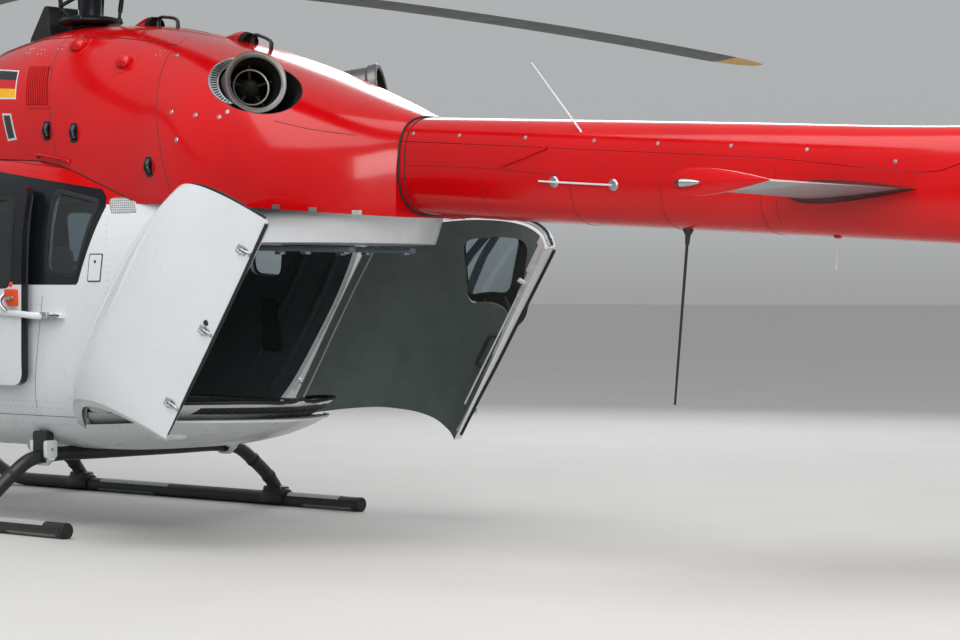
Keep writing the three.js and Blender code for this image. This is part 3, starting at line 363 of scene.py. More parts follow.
def earShape(outline, place0, place1):
    # a prism over any outline: its two ends are triangulated by Blender's own filling
    triangles = np.array(tessellate_polygon([[Vector((*p, 0)) for p in outline]]))
    n = len(outline)
    points = np.vstack([place0(outline), place1(outline)])
    i = np.arange(n)
    j = (i + 1) % n
    corner = outline[triangles]
    twice = np.cross(corner[:, 1] - corner[:, 0], corner[:, 2] - corner[:, 0])
    triangles = np.where((twice > 0)[:, None], triangles, triangles[:, ::-1])
    if (outline[:, 0] * np.roll(outline[:, 1], -1) - np.roll(outline[:, 0], -1) * outline[:, 1]).sum() < 0:
        i, j = j, i
    walls = np.stack([i, j, j + n, i + n], -1)
    return outwards(points, [walls, triangles[:, ::-1], triangles + n])


def sidePrism(points, y0, y1, corner=0, grow=0):
    outline = roundedOutline(points, corner, grow=grow)
    at = lambda y: lambda p: xyz(p[:, 0], y, p[:, 1])
    return earShape(outline, at(y0), at(y1))


def prismOf(name, sign, grow=0, near=100):
    # the prism over one of the outlines on one side of the centre plane
    return sidePrism(outlines[name], *onSide(sign, near), corners[name], grow)


def outlineOf(name, grow):
    return roundedOutline(outlines[name], corners[name], grow=grow)


def planPrism(points, z0, z1, corner=0, grow=0):
    outline = roundedOutline(points, corner, grow=grow)
    at = lambda z: lambda p: xyz(p[:, 0], p[:, 1], z)
    return earShape(outline, at(z0), at(z1))


def boxShape(low, high):
    return planPrism([[low[0], low[1]], [high[0], low[1]], [high[0], high[1]], [low[0], high[1]]], low[2],
                     high[2])


def turnTo(axis):
    return np.array(Vector(axis).to_track_quat("Z", "Y").to_matrix())


def turned(profile, at, axis=(0, 0, 1), around=48):
    # a profile of radius and height goes round an axis; a profile that starts and ends on the axis is closed
    r, h = np.asarray(profile, float).T[..., None]
    t = np.arange(around) / around * 2 * np.pi
    points = xyz(r * np.cos(t), r * np.sin(t), h) @ turnTo(axis).T + np.asarray(at, float)
    return gridShape(points, wrap=True, caps=True)


def lathed(profile, at, axis=(0, 0, 1), around=48):
    # a closed ring: the profile is a loop that doesn't touch the axis
    r, h = np.asarray(profile, float).T[..., None]
    t = np.arange(around) / around * 2 * np.pi
    points = xyz(r * np.cos(t), r * np.sin(t), h) @ turnTo(axis).T + np.asarray(at, float)
    index = np.arange(len(r) * around).reshape(len(r), around)
    ahead, below = np.roll(index, -1, 1), np.roll(index, -1, 0)
    quads = np.stack([index, ahead, np.roll(ahead, -1, 0), below], -1).reshape(-1, 4)
    return outwards(points.reshape(-1, 3), [quads])


def curveThrough(points, count):
    # centripetal spacing and a cubic through every point, as evenly spaced samples
    p = np.asarray(points, float)
    gap = np.sqrt(np.linalg.norm(np.diff(p, axis=0), axis=1))
    speed = np.diff(p, axis=0) / gap[:, None]
    tangent = np.vstack([speed[:1], (speed[:-1] * gap[1:, None] + speed[1:] * gap[:-1, None])
                         / (gap[1:] + gap[:-1])[:, None], speed[-1:]])
    fine = []
    for i, length in enumerate(gap):
        t = np.linspace(0, 1, 24, endpoint=False)[:, None]
        fine.append((2 * t**3 - 3 * t**2 + 1) * p[i] + (t**3 - 2 * t**2 + t) * length * tangent[i]
                    + (3 * t**2 - 2 * t**3) * p[i + 1] + (t**3 - t**2) * length * tangent[i + 1])
    line = np.vstack([*fine, p[-1:]])
    run = np.concatenate([[0], np.cumsum(np.linalg.norm(np.diff(line, axis=0), axis=1))])
    at = np.linspace(0, run[-1], count)
    return np.stack([np.interp(at, run, line[:, k]) for k in range(3)], -1)


def tube(path, radius, around=16, flat=1.0, up=(0, 0, 1)):
    # a ring is carried along the path, square to it; flat squeezes it along the side vector
    p = np.asarray(path, float)
    tangent = np.gradient(p, axis=0)
    tangent /= np.linalg.norm(tangent, axis=1, keepdims=True)
    first = np.cross(tangent[0], up)
    if np.linalg.norm(first) < 0.05:
        first = np.cross(tangent[0], (1, 0, 0))
    side = [first / np.linalg.norm(first)]
    for k in range(1, len(p)):
        step = side[-1] - tangent[k] * (side[-1] @ tangent[k])
        side.append(step / np.linalg.norm(step))
    side = np.array(side)
    other = np.cross(tangent, side)
    t = (np.arange(around) + 0.5) / around * 2 * np.pi
    r = np.broadcast_to(np.asarray(radius, float), len(p))[:, None, None]
    ring = np.cos(t)[None, :, None] * side[:, None] * flat + np.sin(t)[None, :, None] * other[:, None]
    return gridShape(p[:, None] + r * ring, wrap=True, caps=True)


def rod(start, end, radius, around=16, endRadius=None):
    path = np.linspace(start, end, 5)
    return tube(path, np.linspace(radius, radius if endRadius is None else endRadius, 5), around)


def softBlock(centre, half, roundness=0.3, turn=None, rows=12, columns=24):
    # a box with rounded edges: sines and cosines of two angles, each raised to the roundness
    power = lambda v: np.sign(v) * np.abs(v) ** roundness
    v = np.linspace(-np.pi / 2, np.pi / 2, rows)[:, None]
    u = np.arange(columns)[None] / columns * 2 * np.pi
    unit = np.stack([power(np.cos(v)) * power(np.cos(u)), power(np.cos(v)) * power(np.sin(u)),
                     power(np.sin(v)) + 0 * u], -1)
    points = unit * np.asarray(half, float)
    if turn is not None:
        points = points @ np.asarray(turn, float).T
    return gridShape(points + np.asarray(centre, float), wrap=True, caps=True)


def panelPatch(outline, onto, thick=2.0, rings=8, count=96, corner=0, crown=0.0, grow=0):
    # rings shrink from the outline to its middle on the surface; the outer edge drops by the thickness
    edge = evenOutline(roundedOutline(outline, corner, grow=grow), count)
    middle = edge.mean(0)
    inwards = np.linspace(0.985, 0, rings)
    share = np.concatenate([[1, 1], inwards])[:, None, None]
    lift = np.concatenate([[-1, thick * 0.6], thick + crown * (1 - inwards ** 2)])[:, None]
    flat = middle + (edge - middle)[None] * share
    points = onto(flat[..., 0], flat[..., 1], np.broadcast_to(lift, flat.shape[:2]))
    return faceAway(gridShape(points, wrap=True))


bandProfile = ((0, -1), (0, 0.7), (0.2, 1), (0.8, 1), (1, 0.7), (1, -1))


def bandPatch(outer, inner, onto, thick=3.0, count=120):
    # a frame between two outlines with equally many points: share runs across it, lift is its profile
    a, b = evenOutline(outer, count), evenOutline(inner, count)
    shift = np.argmin(np.linalg.norm(b - a[0], axis=1))
    b = np.roll(b, -shift, 0)
    share, lift = np.asarray(bandProfile, float).T[..., None]
    flat = a[None] + (b - a)[None] * share[..., None]
    points = onto(flat[..., 0], flat[..., 1], np.broadcast_to(lift * thick, flat.shape[:2]))
    return faceAway(gridShape(points, wrap=True))


def platePatch(corners, onto, thick=2.0, cells=(8, 8), part=((0, 1), (0, 1))):
    # a bilinear grid over four corners; the doubled outer rows drop to the skin as the plate's edge
    a, b, c, d = np.asarray(corners, float)
    u = np.concatenate([[part[0][0]], np.linspace(*part[0], cells[0]), [part[0][1]]])[:, None, None]
    v = np.concatenate([[part[1][0]], np.linspace(*part[1], cells[1]), [part[1][1]]])[None, :, None]
    flat = (1 - u) * (1 - v) * a + u * (1 - v) * b + u * v * c + (1 - u) * v * d
    lift = np.full(flat.shape[:2], float(thick))
    lift[[0, -1]], lift[:, [0, -1]] = -1, -1
    return faceAway(gridShape(onto(flat[..., 0], flat[..., 1], lift)))


def evenLine(points, count):
    # a bent line in a side view as points at equal steps of its length
    p = np.asarray(points, float)
    run = np.concatenate([[0], np.cumsum(np.linalg.norm(np.diff(p, axis=0), axis=1))])
    at = np.linspace(0, run[-1], count)
    return np.interp(at, run, p[:, 0]), np.interp(at, run, p[:, 1]), run[-1]


def lineOn(points, onto, radius=1.8, count=40, lift=0.3, flat=1.0):
    # a thin round line laid along the skin
    x, z, _ = evenLine(points, count)
    return tube(onto(x, z, np.full(count, float(lift))), radius, 6, flat)


def studsOn(points, onto, radius=8, height=3, around=10):
    x, z = np.asarray(points, float).T
    foot, top = onto(x, z, np.zeros(len(x))), onto(x, z, np.ones(len(x)))
    return studs(foot, top - foot, radius, height, around)


def rivets(points, onto, step=38, radius=4.2, height=1.8):
    # a row of round heads at one pitch
    count = max(2, int(evenLine(points, 2)[2] / step))
    x, z, _ = evenLine(points, count)
    return studsOn(np.stack([x, z], 1), onto, radius, height, 6)


def studs(points, normals, radius, height, around=8):
    # low domes: two rings and a top over each point, square to its normal
    p, n = np.asarray(points, float).reshape(-1, 3), np.asarray(normals, float).reshape(-1, 3)
    n = n / np.linalg.norm(n, axis=1, keepdims=True)
    helper = np.where(np.abs(n[:, 2:]) < 0.9, (0.0, 0.0, 1.0), (1.0, 0.0, 0.0))
    u = np.cross(n, helper)
    u /= np.linalg.norm(u, axis=1, keepdims=True)
    v = np.cross(n, u)
    t = np.arange(around) / around * 2 * np.pi
    ring = u[:, None] * np.cos(t)[None, :, None] + v[:, None] * np.sin(t)[None, :, None]
    rings = np.stack([p[:, None] + ring * radius - n[:, None] * 0.5,
                      p[:, None] + ring * radius * 0.8 + n[:, None] * height * 0.7], 1)
    tops = p + n * height
    count = 2 * around + 1
    block = np.concatenate([rings.reshape(len(p), -1, 3), tops[:, None]], 1).reshape(-1, 3)
    i = np.arange(around)
    j = (i + 1) % around
    quads = np.stack([i, j, j + around, i + around], -1)
    caps = np.stack([i + around, j + around, np.full(around, 2 * around)], -1)
    start = (np.arange(len(p)) * count)[:, None, None]
    return block, [(quads[None] + start).reshape(-1, 4), (caps[None] + start).reshape(-1, 3)]


# Camera where the photographer stood, and plain studio light

camera = {"place": (-11.049, 10.866, 1.424), "yaw": -49.559, "pitch": -0.760, "roll": 0.003, "lens": 98.67,
          "sensor": 36, "far": 200}


def placeCamera():
    yaw, pitch = math.radians(camera["yaw"]), math.radians(camera["pitch"])
    ahead = np.array([math.cos(yaw) * math.cos(pitch), math.sin(yaw) * math.cos(pitch), math.sin(pitch)])
    right = np.array([math.sin(yaw), -math.cos(yaw), 0.0])
    up = np.cross(right, ahead)
    c, s = math.cos(camera["roll"]), math.sin(camera["roll"])
    axes = np.stack([c * right + s * up, -s * right + c * up, -ahead], 1)
    data = bpy.data.cameras.new("photoCamera")
    data.lens, data.sensor_width, data.sensor_fit = camera["lens"], camera["sensor"], "HORIZONTAL"
    data.clip_end = camera["far"]
    seen = bpy.data.objects.new("photoCamera", data)
    seen.matrix_world = Matrix.Translation(camera["place"]) @ Matrix(axes.tolist()).to_4x4()
    bpy.context.scene.collection.objects.link(seen)
    bpy.context.scene.camera = seen


def addLight(name, place, target, size, power, colour=(1, 1, 1)):
    data = bpy.data.lights.new(name, "AREA")
    data.shape, data.size, data.size_y = "RECTANGLE", size[0], size[1]
    data.energy, data.color = power, colour
    lamp = bpy.data.objects.new(name, data)
    look = (Vector(target) - Vector(place)).to_track_quat("-Z", "Y").to_matrix().to_4x4()
    lamp.matrix_world = Matrix.Translation(place) @ look
    bpy.context.scene.collection.objects.link(lamp)


placeCamera()
addLight("skyPanel", (-3, 4, 11), (0, 0, 1.5), (14, 10), 1250)
addLight("doorPanel", (-12, 9, 6), (-1, 0, 1.5), (7, 5), 760, (1, 0.98, 0.95))
addLight("farPanel", (5, -12, 7), (0, 0, 1.5), (9, 5), 600, (0.94, 0.97, 1))

# Materials

def tone(code):  # sRGB hex to linear colour
    c = np.array([int(code[k:k + 2], 16) for k in (0, 2, 4)]) / 255
    return (*np.where(c <= 0.04045, c / 12.92, ((c + 0.055) / 1.055) ** 2.4).tolist(), 1.0)


def addNode(tree, kind, values=None, links=None, **settings):
    # one node: settings are its options, values fill its inputs, links join other nodes' outputs to them
    node = tree.nodes.new(kind)
    for key, value in settings.items():
        setattr(node, key, value)
    for key, value in (values or {}).items():
        node.inputs[key].default_value = value
    for key, output in (links or {}).items():
        tree.links.new(output, node.inputs[key])
    return node


def startMaterial(name, colour, **values):
    material = bpy.data.materials.new(name)
    material.use_nodes = True
    tree = material.node_tree
    shader = tree.nodes["Principled BSDF"]
    shader.inputs["Base Color"].default_value = tone(colour)
    for key, value in values.items():
        shader.inputs[key.replace("_", " ")].default_value = value
    material.diffuse_color = tone(colour)
    return material, tree, shader


def objectNoise(tree, scale, detail=3.0, stretch=(1, 1, 1), at="Object"):
    place = addNode(tree, "ShaderNodeTexCoord").outputs[at]
    sized = addNode(tree, "ShaderNodeMapping", {"Scale": stretch}, {"Vector": place})
    return addNode(tree, "ShaderNodeTexNoise", {"Scale": scale, "Detail": detail, "Roughness": 0.55},
                   {"Vector": sized.outputs[0]})


def colourBetween(tree, factor, stops):
    ramp = addNode(tree, "ShaderNodeValToRGB", links={"Fac": factor})
    while len(ramp.color_ramp.elements) < len(stops):
        ramp.color_ramp.elements.new(0.5)
    for element, (where, code) in zip(ramp.color_ramp.elements, stops):
        element.position, element.color = where, tone(code)
    ramp.color_ramp.interpolation = "B_SPLINE"
    return ramp.outputs["Color"]


def numberBetween(tree, factor, low, high, start=0.2, end=0.8):
    values = {"From Min": start, "From Max": end, "To Min": low, "To Max": high}
    return addNode(tree, "ShaderNodeMapRange", values, {"Value": factor}).outputs[0]


def bumpOf(tree, shader, height, distance, strength=1.0):
    bump = addNode(tree, "ShaderNodeBump", {"Distance": distance, "Strength": strength}, {"Height": height})
    tree.links.new(bump.outputs[0], shader.inputs["Normal"])


def sprayedPaint(name, colour, shades, rough=(0.14, 0.24), coat=0.22):
    # sprayed two-pack polyurethane: a clear gloss whose faint orange peel blurs reflections at arm's length
    material, tree, shader = startMaterial(name, colour, Coat_Weight=coat, Coat_Roughness=0.06, Coat_IOR=1.5,
                                           Specular_IOR_Level=0.3)
    broad = objectNoise(tree, 1.4, 4.0)           # fading and dust that change over about 700 mm
    tree.links.new(colourBetween(tree, broad.outputs[0], shades), shader.inputs["Base Color"])
    tree.links.new(numberBetween(tree, objectNoise(tree, 6.0).outputs[0], *rough), shader.inputs["Roughness"])
    peel = objectNoise(tree, 90.0,
                       1.0)           # peel about 11 mm from crest to crest, drawn coarser than the real 4 mm
    bumpOf(tree, shader, peel.outputs[0], 0.0004, 0.35)
    return material


redPaint = sprayedPaint("redPolyurethanePaint", "C00005",
                        [(0.3, "B80004"), (0.55, "C20006"), (0.8, "C80208")])
whitePaint = sprayedPaint("whitePolyurethanePaint", "D4D8DC",
                          [(0.25, "D0D4D8"), (0.55, "D4D8DC"), (0.8, "D8DCE0")], (0.26, 0.31), 0.2)
blackPaint = sprayedPaint("blackPolyurethanePaint", "12151A", [(0.3, "0F1216"), (0.7, "171A20")], (0.18, 0.3),
                          0.15)
greyPaint = sprayedPaint("greyPolyurethanePaint", "6C7278", [(0.3, "666C72"), (0.7, "747A80")], (0.3, 0.42),
                         0.2)


def plainNoiseMaterial(name, shades, scale, rough, bump=0.0, bumpScale=200.0, **values):
    material, tree, shader = startMaterial(name, shades[0][1], **values)
    tree.links.new(colourBetween(tree, objectNoise(tree, scale).outputs[0], shades),
                   shader.inputs["Base Color"])
    tree.links.new(numberBetween(tree, objectNoise(tree, scale * 2.3).outputs[0], *rough),
                   shader.inputs["Roughness"])
    if bump:
        bumpOf(tree, shader, objectNoise(tree, bumpScale, 2.0).outputs[0], bump)
    return material


rubber = plainNoiseMaterial("blackRubberExtrusion", [(0.3, "101112"), (0.7, "1B1C1D")], 20, (0.55, 0.75),
                            0.0004, 160)
enamel = plainNoiseMaterial("blackStovedEnamel", [(0.35, "0E0F11"), (0.62, "17191B"), (0.8, "2A2B2C")], 9,
                            (0.32, 0.55), 0.0003, 220, Coat_Weight=0.15)
gripTape = plainNoiseMaterial("greyGritTape", [(0.3, "8D9092"), (0.7, "A9ACAD")], 60, (0.8, 0.95), 0.0012,
                              420)
anodised = plainNoiseMaterial("darkAnodisedAluminium", [(0.3, "24272A"), (0.7, "34383B")], 12, (0.32, 0.5),
                              0.0002, 240, Metallic=0.85)
aluminium = plainNoiseMaterial("milledAluminium", [(0.3, "A5A9AC"), (0.7, "BFC2C4")], 24, (0.24, 0.42),
                               0.0002, 260, Metallic=1.0)
castAlloy = plainNoiseMaterial("castMagnesiumAlloy", [(0.3, "777A78"), (0.7, "8C8F8D")], 18, (0.5, 0.65),
                               0.0008, 150, Metallic=0.7)
bladeSkin = plainNoiseMaterial("greyCompositeSkin", [(0.3, "33373B"), (0.7, "3F4448")], 5, (0.4, 0.55),
                               0.0002, 180)
erosionStrip = plainNoiseMaterial("nickelErosionStrip", [(0.3, "8B8D8C"), (0.7, "A2A4A2")], 14, (0.26, 0.4),
                                  Metallic=1.0)
tipYellow = plainNoiseMaterial("yellowTipPaint", [(0.3, "C08A1E"), (0.7, "D09A2A")], 8, (0.3, 0.45))
moulding = plainNoiseMaterial("charcoalMouldedAbs", [(0.3, "1C1E21"), (0.7, "26292C")], 10, (0.5, 0.68),
                              0.0004, 480)
lining = plainNoiseMaterial("slateTrimFelt", [(0.3, "2C3639"), (0.7, "3A464A")], 14, (0.75, 0.92), 0.0009,
                            320, Sheen_Weight=0.2)
doorTrim = plainNoiseMaterial("greyGreenDoorTrim", [(0.3, "4E5A56"), (0.7, "5D6965")], 8, (0.5, 0.7), 0.0005,
                              260)
orangeWebbing = plainNoiseMaterial("orangeWovenWebbing", [(0.3, "C8481A"), (0.7, "DB5A24")], 30, (0.7, 0.85),
                                   0.0006, 500)

# rivet-head paints: darker and rougher than the red and the white skin paints
dullRed = sprayedPaint("darkRivetRedPaint", "8A0306", [(0.3, "800205"), (0.7, "940508")], (0.3, 0.4), 0.1)
dullWhite = sprayedPaint("darkRivetWhitePaint", "A9ADB0", [(0.3, "A2A6A9"), (0.7, "B0B4B7")], (0.4, 0.5), 0.1)
yellowPaint = sprayedPaint("yellowPolyurethanePaint", "E8A800", [(0.3, "DE9F00"), (0.7, "F0B208")])
orangePaint = sprayedPaint("orangeHandlePaint", "D9480E", [(0.3, "CE420B"), (0.7, "E05216")], (0.3, 0.42),
                           0.2)
beamPaint = plainNoiseMaterial("blueGreyPrimer", [(0.3, "5C6B78"), (0.7, "687784")], 9, (0.45, 0.6))
paleTrim = plainNoiseMaterial("paleGreyTrim", [(0.3, "A9ADAC"), (0.7, "BBBFBE")], 12, (0.45, 0.6))
wireMesh = plainNoiseMaterial("blackWireMesh", [(0.4, "0A0A0B"), (0.6, "3A3B3C")], 260, (0.5, 0.7), 0.0006,
                              300)
perforated = plainNoiseMaterial("paleGreyVentSheet", [(0.3, "B4B7B8"), (0.7, "C6C9CA")], 14, (0.4, 0.55))


def tintedAcrylic(name, colour, rough):
    # stretched acrylic: clear to look through, with a light smoke tint and faint wiping marks in the gloss
    material, tree, shader = startMaterial(name, colour, Transmission_Weight=1.0, IOR=1.49, Metallic=0.0)
    tree.links.new(numberBetween(tree, objectNoise(tree, 12.0).outputs[0], rough, rough + 0.03),
                   shader.inputs["Roughness"])
    return material


acrylic = tintedAcrylic("smokeTintAcrylic", "A9B6BC", 0.015)
lampGlass = {"red": tintedAcrylic("redLampGlass", "B01818", 0.05),
             "clear": tintedAcrylic("clearLampGlass", "DADFE2", 0.04)}

screenGlass = plainNoiseMaterial("unlitScreenGlass", [(0.3, "0A0D10"), (0.7, "11161A")], 8, (0.08, 0.14),
                                 Coat_Weight=0.5)


def heatTintedSteel():
    # brushed stainless sheet: straw to blue tint from the heat near the mouth, fine lines along the pipe
    material, tree, shader = startMaterial("heatTintedSteel", "6E6963", Metallic=1.0)
    tint = colourBetween(tree, objectNoise(tree, 5.0).outputs[0],
                         [(0.3, "5E5850"), (0.5, "7A736A"), (0.68, "6C727C"), (0.85, "5C5660")])
    tree.links.new(tint, shader.inputs["Base Color"])
    lines = objectNoise(tree, 60.0, 2.0, (1, 14, 14))
    tree.links.new(numberBetween(tree, lines.outputs[0], 0.26, 0.48), shader.inputs["Roughness"])
    bumpOf(tree, shader, lines.outputs[0], 0.0003, 0.5)
    return material


def sootedSteelAndPaintedShade():
    # the inside of the nozzle: dull dark steel with soot. The same dark material is also painted shade behind
    # the louvre slats, inside the scoop inlets and in the grille's slots, and it is real soot together with
    # painted shade in the recess round each exhaust
    return plainNoiseMaterial("sootedSteelAndPaintedShade", [(0.3, "1A1917"), (0.7, "34312D")], 14, (0.6, 0.85),
                              Metallic=0.6)


def wovenFabric():
    # plain weave of dark blue-grey yarn, threads drawn 4 mm apart (the real 1 mm is too fine to show)
    material, tree, shader = startMaterial("blueGreyWovenFabric", "1F2632", Sheen_Weight=0.35,
                                           Sheen_Roughness=0.5)
    place = addNode(tree, "ShaderNodeTexCoord").outputs["Object"]
    along = addNode(tree, "ShaderNodeTexWave", {"Scale": 40.0, "Distortion": 0.6}, {"Vector": place},
                    bands_direction="X")
    across = addNode(tree, "ShaderNodeTexWave", {"Scale": 40.0, "Distortion": 0.6}, {"Vector": place},
                     bands_direction="Y")
    weave = addNode(tree, "ShaderNodeMath", operation="MULTIPLY",
                    links={0: along.outputs["Fac"], 1: across.outputs["Fac"]})
    tree.links.new(colourBetween(tree, weave.outputs[0], [(0.1, "171C26"), (0.7, "2A3344")]),
                   shader.inputs["Base Color"])
    tree.links.new(numberBetween(tree, weave.outputs[0], 0.78, 0.95, 0, 1), shader.inputs["Roughness"])
    bumpOf(tree, shader, weave.outputs[0], 0.0008)
    return material


def floorSheet():
    # pressed aluminium floor sheet with a raised stud every 30 mm and a dark non-slip coat
    material, tree, shader = startMaterial("studdedFloorSheet", "2B2F32", Metallic=0.2)
    place = addNode(tree, "ShaderNodeTexCoord").outputs["Object"]
    cells = addNode(tree, "ShaderNodeTexVoronoi", {"Scale": 33.0, "Randomness": 0.0}, {"Vector": place},
                    voronoi_dimensions="2D")
    dome = numberBetween(tree, cells.outputs["Distance"], 1.0, 0.0, 0.1, 0.32)
    tree.links.new(colourBetween(tree, dome, [(0.0, "24282B"), (1.0, "4A4F53")]), shader.inputs["Base Color"])
    tree.links.new(numberBetween(tree, dome, 0.7, 0.42, 0, 1), shader.inputs["Roughness"])
    bumpOf(tree, shader, dome, 0.001)
    return material


exhaustSteel, sootAndShade, fabric, floorStuds = heatTintedSteel(), sootedSteelAndPaintedShade(), wovenFabric(), floorSheet()
# The slot of each material in the record; those not named here are black_paint
slotGroups = {
    "red_paint": (redPaint, dullRed, orangePaint,
                  yellowPaint), "white_paint": (whitePaint, dullWhite, perforated, paleTrim),
    "bare_metal": (aluminium, castAlloy), "hub_metal": (anodised,), "dark_composite": (bladeSkin,),
    "grey_paint": (beamPaint, greyPaint), "exhaust_steel": (exhaustSteel,), "seat_fabric": (fabric,),
    "clear_glass": (acrylic, screenGlass, *lampGlass.values()),
}
slotOf = {material.name: slot for slot, group in slotGroups.items() for material in group}
paleFloor = plainNoiseMaterial("paleStudioFloor", [(0.3, "BDBCB8"), (0.7, "C3C2BE")], 0.8, (0.75, 0.85))
print("materials ready:", len(bpy.data.materials))


def studio():
    world = bpy.data.worlds.new("softStudio")
    bpy.context.scene.world = world
    bpy.context.scene.view_settings.view_transform = "Standard"
    world.use_nodes = True
    tree = world.node_tree
    back = tree.nodes["Background"]
    up = addNode(tree, "ShaderNodeSeparateXYZ",
                 links={0: addNode(tree, "ShaderNodeTexCoord").outputs["Generated"]})
    shade = colourBetween(tree, numberBetween(tree, up.outputs["Z"], 0, 1, -0.25, 0.7),
                          [(0.0, "B4B3B0"), (0.255, "C4C4C1"), (0.285, "D2D5D7"), (1.0, "F2F5F8")])
    tree.links.new(shade, back.inputs["Color"])
    back.inputs["Strength"].default_value = 0.62
    reach = np.linspace(-300000, 300000, 13)  # 300 m to every side, half a millimetre under the skids
    shape = inverted(gridShape(xyz(reach[:, None], reach, -0.5)))
    ground = bpy.data.objects.new("studioFloor", bareMesh("studioFloor", shape))
    ground.data.materials.append(paleFloor)
    bpy.context.scene.collection.objects.link(ground)


studio()

# Outlines seen from the side (x, z), measured on the closed helicopter

far = 1200                       # past the widest side
wall, cowlWall = 40, 30
seam, doorGap = 4, 6             # panel seams that show, and the running gap round a door
rearLean, hingeTilt, hingeHeight = 0.714, 0.083, 650  # the rear hinge line leans aft and inwards
openAngle = {"left": 68.2, "right": 45.8}
hingeX = lambda z: -817 - rearLean * (z - hingeHeight)
hingeY = lambda z: 900 - hingeTilt * (z - hingeHeight)
bellyTop, clamBottom = 652, 658
outlines = {
    "noseCone": [[2660, 0], [3800, 0], [3800, 1215], [3300, 1215], [2660, 1120]],
    "windscreen": [[3620, 1265], [3300, 1265], [2790, 1175], [2420, 1670], [2020, 2060], [2020, 2400],
                   [3620, 2400]],
    "chinWindow": [[3230, 950], [2860, 1000], [2750, 700], [2960, 610], [3180, 745]],
    "cockpitDoor": [[1370, 745], [2590, 745], [2590, 1060], [2240, 1600], [1890, 1925], [1370, 1990]],
    "cockpitGlass": [[1460, 1180], [2470, 1150], [2150, 1580], [1850, 1840], [1460, 1900]],
    "slidingDoor": [[110, 830], [1290, 830], [1290, 1995], [110, 2000]],
    "slidingGlass": [[210, 1410], [1190, 1410], [1190, 1915], [210, 1925]],
    "rearGlass": [[-577, 1968], [-940, 1898], [-845, 1472], [-585, 1490]],
    "clamshell": [[hingeX(clamBottom) - 24, clamBottom], [hingeX(1795) - 24, 1795], [-2800, 1745],
                  [-2400, clamBottom]],
    "clamshellGlass": [[-2160, 1630], [-2570, 1680], [-2430, 1350], [-2110, 1250]],
    "roofGlass": [[1620, 110], [1960, 110], [1960, 460], [1620, 540]],
    "bellyRelief": [[hingeX(652) - 14, 610], [-1250, 632], [-1500, 650], [-1500, 700],
                    [hingeX(652) - 14, 700]],
}
corners = {"windscreen": 0, "clamshell": 0, "chinWindow": 50, "rearGlass": 60, "cockpitDoor": 70,
           "cockpitGlass": 70,
           "clamshellGlass": 70, "slidingGlass": 80, "slidingDoor": 90}
windowBand = [[1364, 2140], [100, 2112], [-31, 2094], [-809, 1989], [-932, 1970], [-984, 1927], [-1006, 1868],
              [-867, 1434],
              [-850, 1418], [1364, 1418]]
windscreenBand = [[2800, 1130], [2420, 1700], [2020, 2090], [1364, 2140], [1364, 1125], [2450, 1100]]
slidingShift = (-580, 88, 0)


def onSide(sign, near, reach=far):
    return (near, reach) if sign > 0 else (-reach, -near)


def swingMatrix(side, sign):
    # the open door: a turn about its leaning hinge line
    axis = Vector((-rearLean, -sign * hingeTilt, 1)).normalized()
    hinge = Vector((hingeX(hingeHeight), sign * hingeY(hingeHeight), hingeHeight))
    turn = Matrix.Rotation(math.radians(-sign * openAngle[side]), 4, axis)
    return Matrix.Translation(hinge) @ turn @ Matrix.Translation(-hinge)


swings = {side: swingMatrix(side, sign) for side, sign in sides}
skin = lambda rows, sign: lambda x, z, lift: sideOn(rows, x, z, sign, lift)
redLine = 1880


def hullLevel(rows, p):
    # (|y| / half width)^n + (|z - waist| / reach)^n is 1 on the hull and grows outwards
    x, y, z = np.moveaxis(p, -1, 0)
    low, waist, high, width, top, bottom = sectionAt(rows, x, z)
    upper = z >= waist
    n = np.where(upper, top, bottom)
    reach = np.where(upper, high - waist, waist - low)
    return (np.abs(y) / width) ** n + (np.abs(z - waist) / reach) ** n


def hullNormals(rows, points):
    # the gradient of the hull's level, from differences over 6 mm to both sides
    step = np.eye(3) * 6
    slope = np.stack([hullLevel(rows, points + way) - hullLevel(rows, points - way) for way in step], 1)
    return slope / np.maximum(np.linalg.norm(slope, axis=1, keepdims=True), 1e-9)


def skinZones(outer, inner, edge, rows=None):
    # outer skin, inner lining or cut edge, by how a face lies to the hull's own direction there
    def zones(centres, normals):
        look = (hullNormals(rows or podRows, centres) * normals).sum(1)
        return np.where(look > 0.5, outer(centres) if callable(outer) else outer,
                        np.where(look < -0.5, inner, edge))
    return zones


def cabin():
    shell = hollow(podRows, wall)
    steps = [
        keep(boxShape((-4000, -far, bellyTop + 0.3), (4000, far, 3000))),
        cut(sidePrism(outlines["noseCone"], -far, far, 0, 2)),
        cut(sidePrism([[hingeX(0) - 14, 0], [hingeX(1795) - 14, 1807], [-1700, 1807], [-1700, 3000],
                       [-4000, 3000], [-4000, 0]], -far, far)),
    ]
    for side, sign in sides:
        steps += [
            cut(prismOf("windscreen", sign, 0.3, 32)),
            cut(prismOf("rearGlass", sign, 0.3)),
            cut(planPrism([[x, y * sign] for x, y in outlines["roofGlass"]], 1900, 2400, 40, 0.3)),
            cut(prismOf("cockpitDoor", sign, doorGap)),
            cut(prismOf("slidingDoor", sign, doorGap if side == "left" else 5)),
        ]
    mesh = carved(shell, *steps)
    cutPaintLines(mesh)
    makePiece("cabin_shell", mesh, [redPaint, whitePaint, blackPaint, lining, whitePaint], slot="white_paint",
              replaces="cabin_frame", zones=skinZones(livery, 3, 4))
    nose = carved(shell, keep(sidePrism(outlines["noseCone"], -far, far)),
                  *[cut(prismOf("chinWindow", sign, 0.3)) for _, sign in sides])
    makePiece("nose_shell", nose, [whitePaint, lining, whitePaint], slot="white_paint", replaces="nose_cone",
              zones=skinZones(0, 1, 2))
    belly = carved(shell, keep(boxShape((-4000, -far, 0), (2658, far, bellyTop - 2))),
                   cut(sidePrism(outlines["bellyRelief"], -far, far)))
    makePiece("belly_shell", belly, [whitePaint, lining, whitePaint], slot="white_paint", replaces="belly",
              zones=skinZones(0, 1, 2))


